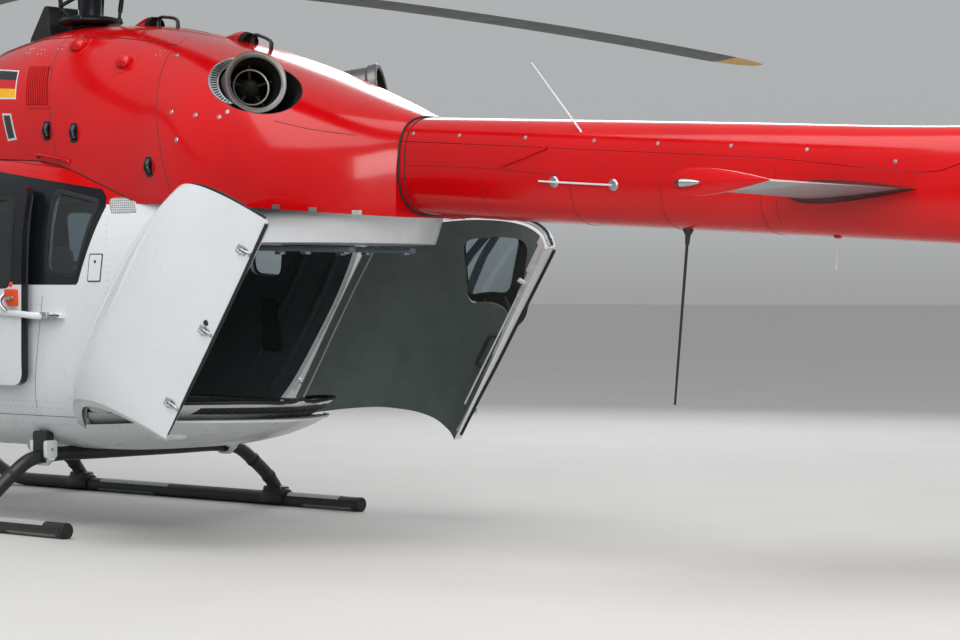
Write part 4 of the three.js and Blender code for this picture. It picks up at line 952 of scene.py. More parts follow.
def cutAcross(mesh, point, normal):
    # a paint line: the faces are split along a plane, so that each side can take its own material
    work = bmesh.new()
    work.from_mesh(mesh)
    bmesh.ops.bisect_plane(work, geom=[*work.verts, *work.edges, *work.faces],
                           plane_co=metres(point).tolist(), plane_no=normal)
    work.to_mesh(mesh)
    work.free()


def cutPaintLines(mesh):
    cutAcross(mesh, (0, 0, redLine), (0, 0, 1))
    for band in (windowBand, windscreenBand):
        for (x, z), (nextX, nextZ) in zip(band, band[1:] + band[:1]):
            cutAcross(mesh, (x, 0, z), (z - nextZ, 0, nextX - x))


def insideOutline(points, outline):
    # a point is inside a convex outline when it lies on the same side of every edge
    p = np.asarray(outline, float)
    edge = np.roll(p, -1, 0) - p
    alongX, alongZ = points[:, None, 0] - p[:, 0], points[:, None, 2] - p[:, 1]
    turn = edge[:, 0] * alongZ - edge[:, 1] * alongX
    return (turn < 0).all(1) | (turn > 0).all(1)


def livery(centres):
    # 0 red above the line, 1 white below it, 2 the black band that runs round the windows
    band = insideOutline(centres, windowBand) | insideOutline(centres, windscreenBand)
    return np.where(band & (np.abs(centres[:, 1]) > 300), 2, np.where(centres[:, 2] > redLine, 0, 1))


def windows():
    pane = hollow(podRows, 8, 6)
    doorPane = hollow(doorRows, 8, 6)
    glass = lambda name, mesh, body="airframe": makePiece(f"{name}_pane", mesh, acrylic, body, replaces=name)
    for side, sign in sides:
        glass(f"windscreen_{side}", carved(pane, keep(prismOf("windscreen", sign, 0, 32.3))))
        glass(f"chin_window_{side}", carved(pane, keep(prismOf("chinWindow", sign))))
        glass(f"rear_window_{side}", carved(pane, keep(prismOf("rearGlass", sign))))
        plan = [[x, y * sign] for x, y in outlines["roofGlass"]]
        glass(f"roof_window_{side}", carved(pane, keep(planPrism(plan, 1900, 2400, 40))))
        glass(f"cockpit_glass_{side}", carved(pane, keep(prismOf("cockpitGlass", sign))),
              f"front_door_{side}")
        sliding = carved(pane, keep(prismOf("slidingGlass", sign)))
        if side == "left":
            sliding.transform(Matrix.Translation(Vector(slidingShift) * 0.001))
        glass(f"sliding_glass_{side}", sliding)
    rear = carved(doorPane, keep(prismOf("clamshellGlass", -1, 0, 90)))
    rear.transform(rowMatrix(swings["right"]))
    glass("clamshell_glass_right", rear, "clamshell_door_right")


def rowMatrix(matrix):
    # a matrix on table millimetres, as one on the row frame's metres
    shift = Matrix.Translation((rotorX, 0, 0))
    m = shift @ matrix @ shift.inverted()
    m.translation = m.translation * 0.001
    return m


def doors():
    shell = hollow(podRows, wall)
    doorShell = hollow(doorRows, wall)
    for side, sign in sides:
        door = carved(shell, keep(prismOf("cockpitDoor", sign)),
                      cut(prismOf("cockpitGlass", sign, 0.3)))
        cutPaintLines(door)
        makePiece(f"cockpit_door_{side}_shell", door,
                  [redPaint, whitePaint, blackPaint, moulding, blackPaint],
                  f"front_door_{side}", "white_paint", f"cockpit_door_{side}", zones=skinZones(livery, 3, 4))
        door = carved(shell, keep(prismOf("slidingDoor", sign)),
                      cut(prismOf("slidingGlass", sign, 0.3)))
        cutPaintLines(door)
        piece = makePiece(f"sliding_door_{side}_shell", door,
                          [redPaint, whitePaint, blackPaint, moulding, blackPaint],
                          "airframe", "white_paint", f"sliding_door_{side}", zones=skinZones(livery, 3, 4))
        if side == "left":
            piece.data.transform(Matrix.Translation(Vector(slidingShift) * 0.001))
        steps = [keep(prismOf("clamshell", sign, 0, 3))]
        if side == "right":
            steps.append(cut(prismOf("clamshellGlass", sign, 0.3, 90)))
        door = carved(doorShell, *steps)
        piece = makePiece(f"clamshell_{side}_shell", door, [whitePaint, doorTrim, whitePaint],
                          f"clamshell_door_{side}", "white_paint",
                          f"clamshell_{side}", zones=skinZones(0, 1, 2, doorRows))
        piece.data.transform(rowMatrix(swings[side]))


stripLine = [[-1700, 1880], [-2830, 1792]]
cowlJoints = {"high": 3100, "low": 1700, "nose": (3000, 3000), "front": (-128, -682), "rear": (-1053, -1672),
              "tail": (-4000, -4000)}
mouth = np.array([-1975, 520, 2548])
exhaustWay = np.array([-0.84, 0.52, 0.16]) / np.linalg.norm([-0.84, 0.52, 0.16])
exhaustRadius = 176


def cowls():
    shell = hollow(cowlRows, cowlWall)
    over = sidePrism([[3000, 1900], [3000, 3300], [-3300, 3300], [-3300, 1792], [-2830, 1792], [-1700, 1880]],
                     -far, far)
    pod = hull(podRows, -0.5)
    mast = turned([[0, 2500], [145, 2500], [145, 3300], [0, 3300]], (0, 0, 0))
    cabinTop = carvedShape(pod, keep(boxShape((-1700, -far, 0), (4000, far, 3000))))
    upper = carvedShape(shell, cut(cabinTop), keep(over))
    red = [redPaint, moulding, redPaint]

    def zone(front, rear, y0, y1):
        (frontHigh, frontLow), (rearHigh, rearLow) = cowlJoints[front], cowlJoints[rear]
        high, low = cowlJoints["high"], cowlJoints["low"]
        return sidePrism([[frontLow, low], [frontHigh, high], [rearHigh + seam, high], [rearLow + seam, low]],
                         y0, y1)

    def cowl(name, node, *steps):
        makePiece(name, carved(upper, *steps), red, replaces=node, zones=skinZones(0, 1, 2, cowlRows))
    cowl("front_cowl_shell", "front_cowl", keep(zone("nose", "front", -far, far)), cut(mast))
    for side, sign in sides:
        cowl(f"engine_cowl_{side}_shell", f"engine_cowl_{side}",
             keep(zone("front", "rear", *onSide(sign, 2))), cut(mast))
    aft = [keep(zone("rear", "tail", -far, far))]
    r = exhaustRadius + 24
    for side, sign in sides:
        way, at = exhaustWay * (1, sign, 1), mouth * (1, sign, 1)
        for back in (0, 75):
            aft.append(cut(turned([[0, -620], [r, -620], [r, 700], [0, 700]], at + (-back, 0, -back * 0.12),
                                  way, 64)))
    cowl("aft_cowl_shell", "aft_cowl", *aft)
    (stripX, stripZ), (endX, endZ) = stripLine
    under = sidePrism([[stripX - 0.3, 1655], [stripX - 0.3, stripZ - 2], [endX, endZ - 2], [endX, 1655]],
                      -far, far)
    land = carvedShape(hull(doorRows, wall + doorGap), keep(under))
    flange = carvedShape(hull(podRows, wall + 0.3),
                         keep(boxShape((stripX - 60, -far, 1813), (stripX + 80, far, stripZ - 0.3))))
    makePiece("rear_roof_land", carved(land, join(flange)), whitePaint, replaces="rear_roof")


def shapeOf(mesh):
    # a mesh back to points in table millimetres and blocks of faces
    points = np.zeros(len(mesh.vertices) * 3)
    mesh.vertices.foreach_get("co", points)
    totals = np.zeros(len(mesh.polygons), np.int32)
    starts = np.zeros(len(mesh.polygons), np.int32)
    mesh.polygons.foreach_get("loop_total", totals)
    mesh.polygons.foreach_get("loop_start", starts)
    loops = np.zeros(len(mesh.loops), np.int32)
    mesh.loops.foreach_get("vertex_index", loops)
    blocks = [loops[starts[totals == n][:, None] + np.arange(n)] for n in np.unique(totals)]
    return points.reshape(-1, 3) * 1000 - (rotorX, 0, 0), blocks


def carvedShape(start, *steps):
    return shapeOf(carved(start, *steps))


cabin()
windows()
doors()
cowls()

ductX, ductZ, ductRadius, shroudRadius, shroudHalf, shroudEdge = -7350, 2190, 585, 790, 170, 90
finRows = [[3980, -7790, -8138, 50], [3880, -7680, -8125, 105], [3450, -7410, -8075, 150],
           [3000, -7130, -8020, 200], [2640, -6900, -7960, 250]]
stubRows = [[1560, -7130, -7800, 190], [1330, -7330, -7900, 110], [1230, -7420, -7930, 50]]
stabiliserRows = [[1420, -5548, 453, 62], [1340, -5536, 466, 66], [700, -5410, 590, 72],
                  [120, -5290, 690, 80]]
stabiliserHeight = 1878
coverLine = [[-2800, 2208], [-5240, 2046], [-5711, 1989], [-6016, 1957], [-6144, 1963], [-6250, 1997],
             [-6330, 2060],
             [-6380, 3000], [-2800, 3000]]


def foil(chord, thick, place, points=26):
    # half the thickness at share u of the chord is 1.872 (sqrt u - u) times the thickness; rows are sections
    s = np.linspace(0, 1, points)
    u = np.concatenate([s, s[-2:0:-1]]) ** 2
    side = np.concatenate([np.ones(points), -np.ones(points - 2)])
    half = 1.872 * (np.sqrt(u) - u) * side
    return gridShape(place(u[None] * chord[:, None], half[None] * thick[:, None]), wrap=True, caps=True)


def finShape(rows):
    z, front, back, thick = smoothRows(rows, 40).T
    return foil(front - back, thick, lambda along, across: xyz(front[:, None] - along, across, z[:, None]))


def tail():
    d, r, h, e = ductRadius, shroudRadius, shroudHalf, shroudEdge
    profile = [[0, -h - 2], [r - e, -h - 2], [r + 2, e - h], [r + 2, h - e], [r - e, h + 2], [0, h + 2]]
    disc = turned(profile, (ductX, 0, ductZ), (0, 1, 0), 96)
    whole = hull(boomRows, 0, 96, 60)
    drop = lambda gap: sidePrism([[x - gap, z - gap] for x, z in coverLine], -far, far)
    makePiece("boom_skin", carved(whole, cut(disc), cut(drop(3))), redPaint, replaces="tail_boom")
    makePiece("driveshaft_cover_skin", carved(whole, cut(disc), keep(drop(0))), redPaint,
              replaces="driveshaft_cover")
    loop = roundedOutline([[d, 30 - h], [d + 45, -h], [r - e, -h], [r, e - h], [r, h - e], [r - e, h],
                           [d + 45, h], [d, h - 30]], 18, 4)
    ring = lathed(loop, (ductX, 0, ductZ), (0, 1, 0), 120)
    duct = turned([[0, -far], [d, -far], [d, far], [0, far]], (ductX, 0, ductZ), (0, 1, 0), 120)
    fin = carvedShape(ring, join(finShape(finRows)), join(finShape(stubRows)), cut(duct))
    makePiece("fin_and_shroud", fin, redPaint, replaces="tail_fin", angle=30)
    boom = hull(boomRows, -0.3, 96, 60)
    y, front, chord, thick = smoothRows(stabiliserRows, 30).T
    for side, sign in sides:
        place = lambda along, up: xyz(front[:, None] - along, sign * y[:, None], stabiliserHeight + up)
        wing = outwards(*foil(chord, thick, place))
        paintEdge = front - 0.2 * chord
        lead = lambda c, n: np.where(c[:, 0] > np.interp(np.abs(c[:, 1]), y[::-1], paintEdge[::-1]), 0, 1)
        makePiece(f"stabiliser_{side}_skin", carved(wing, cut(boom)), [redPaint, greyPaint],
                  slot="grey_paint",
                  replaces=f"stabiliser_{side}", zones=lead)
    whip = rod((-4120, 175, 2093), (-3720, 230, 2585), 6.5, 10, 3.5)
    foot = [[0, -12], [26, -12], [24, 6], [12, 30], [9, 60], [0, 62]]
    makePiece("whip_antenna_upper", combined(whip, turned(foot, (-4120, 175, 2093), (400, 55, 495), 20)),
              whitePaint,
              replaces="antenna_upper")
    whip = rod((-4602, 50, 1722), (-4522, 50, 818), 8, 10, 6)
    foot = [[0, -10], [30, -10], [28, 8], [14, 34], [11, 80], [0, 82]]
    makePiece("whip_antenna_lower", combined(whip, turned(foot, (-4602, 50, 1712), (80, 0, -904), 20)),
              enamel,
              replaces="antenna_lower")


rotor = {"height": 3338, "droop": 275, "phase": 77.1, "radius": 5500, "blades": 4}
bladeTurns = [math.radians(rotor["phase"] + 90 * k) for k in range(rotor["blades"])]
armPlace = lambda turn: Matrix.Translation((0, 0, rotor["height"])) @ Matrix.Rotation(turn, 4, "Z")
bladeRows = [[1, 120, 14, 84], [0.975, 240, 24, 34], [0.92, 320, 32, 0], [0.6, 320, 38, 0],
             [0.26, 320, 42, 0], [0.19, 230, 60, 0],
             [0.13, 150, 84, 0], [400 / 5500, 120, 96, 0]]


def mainRotor():
    height = rotor["height"]
    reach, chord, thick, sweep = smoothRows(bladeRows, 0.02).T
    tip = lambda c, n: np.where(np.hypot(c[:, 0], c[:, 1]) > 5180, 2, 0)
    for k, turn in enumerate(bladeTurns):
        spin = armPlace(turn)
        front, bend = chord * 0.3 - sweep, rotor["droop"] * reach ** 2
        place = lambda along, up: xyz(reach[:, None] * rotor["radius"], front[:, None] - along,
                                      up - bend[:, None])
        blade = moved(outwards(*foil(chord, thick, place, 18)), spin)
        makePiece(f"rotor_blade_{k + 1}", blade, [bladeSkin, erosionStrip, tipYellow], "main_rotor",
                  "dark_composite", f"main_blade_{k + 1}",
                  zones=tip)
        drop = rotor["droop"] * 0.12 ** 2
        cuff = moved(tube([[180, 0, 0], [300, 0, 0], [420, 0, -2], [560, 0, -3], [690, 0, -drop],
                           [760, 0, -drop - 1]],
                          [62, 66, 66, 62, 50, 36], 24), spin)
        bolts = [moved(turned([[0, -74], [20, -74], [24, -66], [24, 66], [20, 76], [12, 88], [0, 88]],
                              (470, y, -2), (0, 0, 1), 20), spin)
                 for y in (-32, 32)]
        horn = moved(tube(curveThrough([[330, 20, -10], [300, 110, -14], [240, 168, -16]], 16),
                          [26] * 8 + [22] * 8, 14), spin)
        makePiece(f"blade_cuff_{k + 1}", combined(cuff, horn), anodised, "main_rotor", "hub_metal")
        makePiece(f"blade_bolts_{k + 1}", combined(*bolts), aluminium, "main_rotor", "hub_metal")
    mast = turned([[0, 2784], [70, 2784], [70, 3000], [66, 3010], [66, 3200], [84, 3225], [84, 3262],
                   [0, 3262]], (0, 0, 0), around=48)
    hub = turned([[0, -72], [150, -72], [176, -62], [190, -40], [192, 30], [176, 46], [150, 52], [128, 78],
                  [122, 92], [60, 108], [0, 112]],
                 (0, 0, height), around=64)
    arms = [moved(tube([[0, 0, 0], [130, 0, 0], [260, 0, 0], [399, 0, 0]], [70, 66, 62, 62], 24, 0.8),
                  armPlace(t))
            for t in bladeTurns]
    makePiece("rotor_hub", combined(mast, hub, *arms), anodised, "main_rotor", "hub_metal", "rotor_head")
    ringBolts = np.array([[150 * math.cos(a), 150 * math.sin(a), height + 54]
                          for a in np.arange(12) / 12 * 2 * np.pi])
    makePiece("hub_bolts", studs(ringBolts, np.tile((0, 0, 1.0), (12, 1)), 11, 12, 6), aluminium,
              "main_rotor", "hub_metal")
    plate = lathed(roundedOutline([[71, 3022], [180, 3026], [204, 3046], [180, 3068], [71, 3088]], 8, 4),
                   (0, 0, 0), around=64)
    links = []
    for t in bladeTurns:
        a = t + math.radians(42)
        foot = np.array([182 * math.cos(a), 182 * math.sin(a), 3050])
        head = np.array([216 * math.cos(a), 216 * math.sin(a), height - 20])
        links += [rod(foot, head, 10, 14),
                  rod(foot + (head - foot) * 0.2, foot + (head - foot) * 0.8, 15, 12),
                  softBlock(foot, (22, 22, 20), 0.8), softBlock(head, (22, 22, 20), 0.8)]
    scissor = [rod((70, 60, 3200), (150, 130, 3140), 12, 12), rod((150, 130, 3140), (110, 95, 3085), 12, 12)]
    makePiece("swashplate_ring", combined(plate, *links, *scissor), anodised, "main_rotor", "hub_metal",
              "swashplate")
    boot = turned([[0, 2986], [118, 2986], [112, 2994], [120, 3002], [108, 3009], [112, 3015], [96, 3019],
                   [0, 3019]], (0, 0, 0), around=48)
    makePiece("mast_boot", boot, rubber, "airframe", "black_paint")
    fairing = carved(sidePrism([[235, 2930], [450, 2880], [430, 2960], [300, 3155], [260, 3155]], -120, 120,
                               14), cut(hull(cowlRows, -0.5)))
    makePiece("mast_fairing_shell", fairing, enamel, replaces="mast_fairing")


def tailRotor():
    hub = turned([[0, -61.7], [45, -61.7], [45, -56], [150, -56], [170, -50], [176, -36], [176, 28],
                  [168, 42], [124, 62], [60, 69], [0, 70]],
                 (ductX, 80, ductZ), (0, 1, 0), 64)
    blades = []
    for k in range(10):
        angle = (k + (k % 2) * 0.22) / 10 * 2 * math.pi
        r = np.linspace(150, 570, 14)
        twist = np.radians(np.interp(r, [150, 570], [54, 44]))[:, None]
        chord = np.interp(r, [150, 220, 570], [60, 88, 84])

        def place(a, up):
            a = a - chord[:, None] * 0.5
            return xyz(r[:, None], up * np.cos(twist) + a * np.sin(twist),
                       a * np.cos(twist) - up * np.sin(twist))
        blade = foil(chord, np.interp(r, [150, 570], [16, 8]), place, 12)
        blades.append(moved(blade, Matrix.Translation((ductX, 75, ductZ)) @ Matrix.Rotation(-angle, 4, "Y")))
    makePiece("fan_rotor", combined(hub, *blades), greyPaint, "tail_rotor_assembly", "grey_paint",
              "tail_rotor")
    fixed = turned([[0, -122], [96, -122], [136, -108], [158, -82], [160, 17.5], [0, 17.5]],
                   (ductX, 0, ductZ), (0, 1, 0), 64)
    vanes = []
    for k in range(9):
        a = (k + 0.3) / 9 * 2 * math.pi
        way = np.array([math.cos(a), 0, math.sin(a)])
        start, end = np.array([ductX, -50, ductZ]) + way * 140, np.array([ductX, -50, ductZ]) + way * 600
        vanes.append(tube(np.linspace(start, end, 5), 27, 20, 0.32, up=(0, 1, 0)))
    makePiece("fan_stator", combined(fixed, *vanes), redPaint, "airframe", "red_paint")


def gear():
    for side, sign in sides:
        y = sign * 1202
        straight = [[x, y, 45] for x in (-1178, -600, 0, 1000, 1600, 1990, 2020)]
        toe = [[2170, y, 57], [2340, y, 115], [2520, y, 235]]
        path = curveThrough(straight + toe, 90)
        makePiece(f"skid_tube_{side}", tube(path, 45, 28), enamel, replaces=f"skid_{side}")
        cap = turned([[0, -4], [41, -4], [45.5, 0], [45.5, 22], [44, 24], [0, 24]], (-1179, y, 45), (1, 0, 0),
                     28)
        makePiece(f"skid_end_{side}", cap, rubber)
        t = np.linspace(0.18, 0.82, 14)[None] * np.pi
        tapes = [gridShape(xyz(np.linspace(*stretch)[:, None], y + 46.2 * np.cos(t), 45 + 46.2 * np.sin(t)))
                 for stretch in ((560, 1240, 30), (-1010, -560, 20))]
        makePiece(f"skid_grip_{side}", combined(*tapes), gripTape)
    pod = hull(podRows, -0.3)
    for name, x in (("front", 1461), ("rear", -432)):
        half = [[1202, 102], [1128, 192], [985, 306], [850, 390], [700, 414], [300, 416]]
        path = curveThrough([[x, y, z] for y, z in half] + [[x, -y, z] for y, z in half[::-1]], 90)
        blocks = [join(softBlock((x, sign * 745, 465), (60, 36, 95), 0.22)) for _, sign in sides]
        body = carvedShape(tube(path, 42, 24), *blocks, cut(pod))
        saddles = []
        for _, sign in sides:
            bar = turned([[0, -96], [58, -96], [62, -90], [62, 90], [58, 96], [0, 96]], (x, sign * 1202, 50),
                         (1, 0, 0), 40)
            block = carvedShape(bar, join(softBlock((x, sign * 1196, 98), (84, 46, 30), 0.3)),
                                cut(rod((x - 300, sign * 1202, 45), (x + 300, sign * 1202, 45), 45.3, 40)),
                                keep(boxShape((x - 200, -far - 200, 22), (x + 200, far + 200, 400))))
            saddles.append(block)
        makePiece(f"crosstube_{name}_bar", body, enamel, replaces=f"crosstube_{name}")
        makePiece(f"crosstube_{name}_saddles", combined(*saddles), enamel)
        bolts = np.array([[x + dx, sign * (1202 + 62), 52] for _, sign in sides for dx in (-72, -40, 40, 72)])
        outward = np.array([[0, np.sign(b[1]), 0] for b in bolts])
        makePiece(f"crosstube_{name}_bolts", studs(bolts - outward * 2, outward, 10, 11, 6), aluminium)


def exhausts():
    r = exhaustRadius
    for side, sign in sides:
        way, at = exhaustWay * (1, sign, 1), mouth * (1, sign, 1)
        pipe = lathed(roundedOutline([[r - 43, -520], [r - 10, -520], [r - 10, -60], [r, -50], [r, 0],
                                      [r - 22, 0], [r - 34, -60], [r - 43, -110]], 5, 3),
                      at, way, 72)

        def inside(centres, normals):
            # 1 for the faces that look at the pipe's axis
            out = centres - at
            return np.where((out * normals).sum(1) - (out @ way) * (normals @ way) < -3, 1, 0)
        makePiece(f"exhaust_{side}_pipe", pipe, [exhaustSteel, sootAndShade], slot="exhaust_steel",
                  replaces=f"exhaust_{side}", zones=inside)
        across = np.cross(way, (0, 0, 1))
        across /= np.linalg.norm(across)
        above = np.cross(across, way)
        struts = []
        for a in np.arange(5) / 5 * 2 * np.pi + 0.3:
            out = across * math.cos(a) + above * math.sin(a)
            struts.append(rod(at - way * 150 + out * 50, at - way * 150 + out * (r - 40), 9, 12))
        cone = turned([[0, -330], [62, -330], [64, -200], [52, -140], [30, -100], [0, -84]], at, way, 36)
        makePiece(f"exhaust_{side}_core", combined(cone, *struts), sootAndShade, slot="exhaust_steel")


tail()
mainRotor()
tailRotor()
gear()
exhausts()

slid = {"left": Matrix.Translation(Vector(slidingShift) * 0.001), "right": None}


def addOn(name, shape, material, body="airframe", slot=None, turn=None, angle=38):
    # one shape or a list of shapes, built on the closed helicopter and then taken along with an open door
    piece = makePiece(name, combined(*shape) if isinstance(shape, list) else shape, material, body, slot,
                      angle=angle)
    if turn is not None:
        piece.data.transform(turn)
    return piece


seal = {"outside": 15, "inside": 11, "thick": 3.4, "roofOutside": 14, "roofInside": 10, "trimOutside": 46,
        "trimInside": 12}


def windowSeals():
    # black rubber beading that laps over skin and glass
    def ring(name, onto):
        return bandPatch(outlineOf(name, seal["outside"]), outlineOf(name, -seal["inside"]), onto,
                         seal["thick"], 160)
    for side, sign in sides:
        onto = skin(podRows, sign)
        addOn(f"window_beading_{side}", [ring("rearGlass", onto), ring("chinWindow", onto)], rubber)
        addOn(f"cockpit_beading_{side}", ring("cockpitGlass", onto), rubber, f"front_door_{side}")
        addOn(f"sliding_beading_{side}", ring("slidingGlass", onto), rubber, turn=slid[side])
        plan = [[x, y * sign] for x, y in outlines["roofGlass"]]
        outer, inner = [roundedOutline(plan, 40, grow=g) for g in (seal["roofOutside"], -seal["roofInside"])]
        addOn(f"roof_beading_{side}", bandPatch(outer, inner, lambda *at: roofOn(podRows, *at), 3, 120),
              rubber)
    onto, door = skin(doorRows, -1), ("clamshell_door_right", None, rowMatrix(swings["right"]))
    onTrim = lambda x, z, lift, depth=wall: onto(x, z, -depth - np.asarray(lift, float))
    trim = bandPatch(outlineOf("clamshellGlass", seal["trimOutside"]),
                     outlineOf("clamshellGlass", -seal["trimInside"]), onTrim, 3, 160)
    addOn("rear_door_beading", [ring("clamshellGlass", onto), inverted(trim)], rubber, *door)
    screws = evenOutline(outlineOf("clamshellGlass", 22), 22)
    addOn("rear_door_screws", studsOn(screws, lambda *at: onTrim(*at, wall + 2.5), 6, 1.2), aluminium, *door)


doorEdge = {"low": 672, "high": 1742, "top": (1794, 1758), "hooks": (1578, 1178, 811), "lock": 1212,
            "lean": (-1700, 0)}
doorBend = ((690, 1050, 1500, 1760),
            (590, 640, 680, 760))  # heights, and how far aft of the hinge line the door bends
hookLines = [([(84, 0, 5), (56, 6, 14), (26, 5, 16), (6, 0, 10), (14, -8, 4)], 20, 6, 10),
             ([(88, -8, 4), (62, -10, 10), (34, -8, 9)], 12, 4.5, 8)]


def rearSide(sign, rows=doorRows):
    # the rear end's surface: the section is sought whose half width at that height is the distance y
    table = smoothRows(rows, 12)
    x0, lean, low, waist, high, width, top, bottom = table[table[:, 0] < -700].T

    def onto(y, z, lift):
        y, z = np.broadcast_arrays(np.asarray(y, float), np.asarray(z, float))
        flatY, flatZ = y.ravel(), z.ravel()[:, None]
        upper = flatZ >= waist
        n, reach = np.where(upper, top, bottom), np.where(upper, high - waist, waist - low)
        across = width * np.maximum(1 - (np.abs(flatZ - waist) / reach) ** n, 0) ** (1 / n)
        start = np.array([np.interp(-a, -row, x0) for a, row in zip(flatY, across)])
        leaning = np.interp(-start, -x0, lean)
        p = np.stack([start - leaning * (flatZ[:, 0] - leanZero), flatY, flatZ[:, 0]], 1)
        p = p + hullNormals(rows, p) * np.broadcast_to(np.asarray(lift, float), y.shape).ravel()[:, None]
        return (p * (1, sign, 1)).reshape(*y.shape, 3)
    return onto


def ridge(middle, z, onto, half, height):
    # a raised band, whose height falls from its middle line to nothing at both sides and both ends
    s = np.concatenate([np.linspace(-1, 1, 13), np.linspace(0.9, -0.9, 5)])
    fade = np.sin(np.linspace(0.04, 0.96, len(z)) * np.pi)[:, None] ** 0.5
    lift = np.where(np.arange(18) < 13, height * fade * (1 - s ** 2) ** 2 - 0.6, -4.0)
    return gridShape(onto(middle[:, None] + half * s, z[:, None] + 0 * lift, lift), wrap=True, caps=True)


def clamshellFittings():
    for side, sign in sides:
        door = (f"clamshell_door_{side}", None, rowMatrix(swings[side]))
        onto, rear = skin(doorRows, sign), rearSide(sign)
        free, hinged = np.linspace(doorEdge["low"], doorEdge["high"],
                                   60), np.linspace(clamBottom + 10, 1780, 50)

        def crossing(hingeZ, edgeZ, lift, drop=0):
            # along the door's upper or lower edge, from the centre plane to the hinge line
            wide = onto(hingeX(hingeZ) - 30, hingeZ, 0)[1] * sign
            y = wide * np.sin(np.linspace(0.02, 0.5, 60) * np.pi)
            return rear(y, edgeZ + (hingeZ - edgeZ) * (y / wide) ** 2 - drop, lift)
        top = doorEdge["top"]
        seals = [tube(rear(9, free, -12), 10, 10), tube(onto(hingeX(hinged) - 30, hinged, -20), 6, 8),
                 tube(crossing(*top, -24, 12), 8, 10), tube(crossing(clamBottom + 8, clamBottom + 8, -22), 8,
                                                            10)]
        addOn(f"clamshell_seal_{side}", seals, rubber, *door)
        rims = [tube(crossing(*top, -wall + 2, 24), 5, 8), tube(crossing(*top, -wall + 1, 58), 4, 8),
                tube(rear(46, free, -wall + 2), 6, 8), tube(onto(hingeX(hinged) - 80, hinged, -wall - 4), 6,
                                                            8)]
        addOn(f"clamshell_trim_lip_{side}", rims, paleTrim, *door)
        z = np.linspace(704, 1738, 60)
        bend = hingeX(z) - np.interp(z, *doorBend)
        spread = 120 * np.clip((1770 - z) / 620, 0, 1) ** 0.8
        creases = [ridge(bend - 66, z, onto, 32, 12), ridge((bend - 90 - spread)[20:], z[20:], onto, 28, 9)]
        addOn(f"clamshell_crease_{side}", creases, whitePaint, *door)
        hooks, plates = [], []
        for z in doorEdge["hooks"]:
            gy, gz = np.meshgrid(np.linspace(34, 96, 4), np.linspace(-17, 17, 4) + z, indexing="ij")
            plates.append(faceAway(gridShape(rear(gy, gz, 3)), (*doorEdge["lean"], z)))
            for spots, count, radius, around in hookLines:
                hooks.append(tube(curveThrough([rear(y, z + dz, lift) for y, dz, lift in spots], count),
                                  radius, around))
            hooks.append(rod(rear(62, z - 20, 7), rear(62, z + 20, 7), 5.5, 12))
        addOn(f"clamshell_hooks_{side}", hooks + plates, aluminium, *door)
        foot = rear(74, doorEdge["lock"], 0)
        addOn(f"clamshell_lock_{side}", studs(foot, rear(74, doorEdge["lock"], 1) - foot, 17, 5, 24),
              moulding, *door)
        rows = [rivets([(hingeX(a) - 40, a), (hingeX(b) - 40, b)], onto, 46)
                for a, b in ((690, 1230), (1250, 1770))]
        addOn(f"clamshell_rivets_{side}", rows, whitePaint, *door)
        grip = [rear(150, z, -wall - lift)
                for z, lift in ((1010, 0), (1018, 40), (1100, 46), (1182, 40), (1190, 0))]
        addOn(f"clamshell_pull_{side}", tube(curveThrough(grip, 24), 11, 10), moulding, *door)
        gy, gz = np.meshgrid(np.linspace(60, 140, 5), np.linspace(1420, 1560, 8), indexing="ij")
        rods = [rod(rear(90, a, -wall - 14), rear(90, b, -wall - 14), 6, 10)
                for a, b in ((1430, 800), (1550, 1585))]
        latch = [inverted(faceAway(gridShape(rear(gy, gz, -wall - 12)), (-1000, 0, 1500))), *rods,
                 rod(rear(100, 1490, -wall - 8), rear(100, 1490, -wall - 50), 14, 16)]
        addOn(f"clamshell_latch_{side}", latch, whitePaint, *door)


hinge = {"radius": 14, "length": 45, "gap": 0.3, "cockpit": (2600, 785, (790, 920)),
         "clamshell": ((800, 832), (1720, 748))}


def hinges():
    def half(centre, axis, which, anchor):
        # half a hinge: a knuckle on the axis with a rounded end, and an arm into the wall; 1 is the door side
        centre, axis, anchor = np.asarray(centre, float), np.asarray(axis, float), np.asarray(anchor, float)
        low, high = (0, hinge["length"]) if which > 0 else (-hinge["length"] - hinge["gap"], -hinge["gap"])
        r = hinge["radius"]
        profile = [[0, low], [r - 1.5, low], [r, low + 1.5], [r, high - 1.5], [r - 1.5, high], [0, high]]
        arm = tube(np.linspace(centre + axis * (low + high) / 2, anchor, 6), [11, 10.5, 10, 10, 11, 13], 14,
                   0.7)
        return combined(turned(profile, centre, axis, 28), arm)
    x, y, heights = hinge["cockpit"]
    for side, sign in sides:
        axis = np.array([-rearLean, -sign * hingeTilt, 1])
        axis = axis / np.linalg.norm(axis)
        front, rear = {}, {}
        for w, frontArm, rearArm in ((1, -42, -70), (-1, 36, 38)):
            front[w] = [half((x, sign * y, z), (0, 0, 1), w, (x + frontArm, sign * (y - 58), z + w * 20))
                        for z in heights]
            rear[w] = [half((hingeX(z), sign * hingeY(z), z), axis, w,
                            (hingeX(z) + rearArm, sign * wallY, z + w * 10))
                       for z, wallY in hinge["clamshell"]]
        addOn(f"frame_hinges_{side}", front[-1] + rear[-1], whitePaint)
        addOn(f"cockpit_hinges_{side}", front[1], whitePaint, f"front_door_{side}")
        addOn(f"clamshell_hinges_{side}", rear[1], whitePaint, f"clamshell_door_{side}",
              None, rowMatrix(swings[side]))


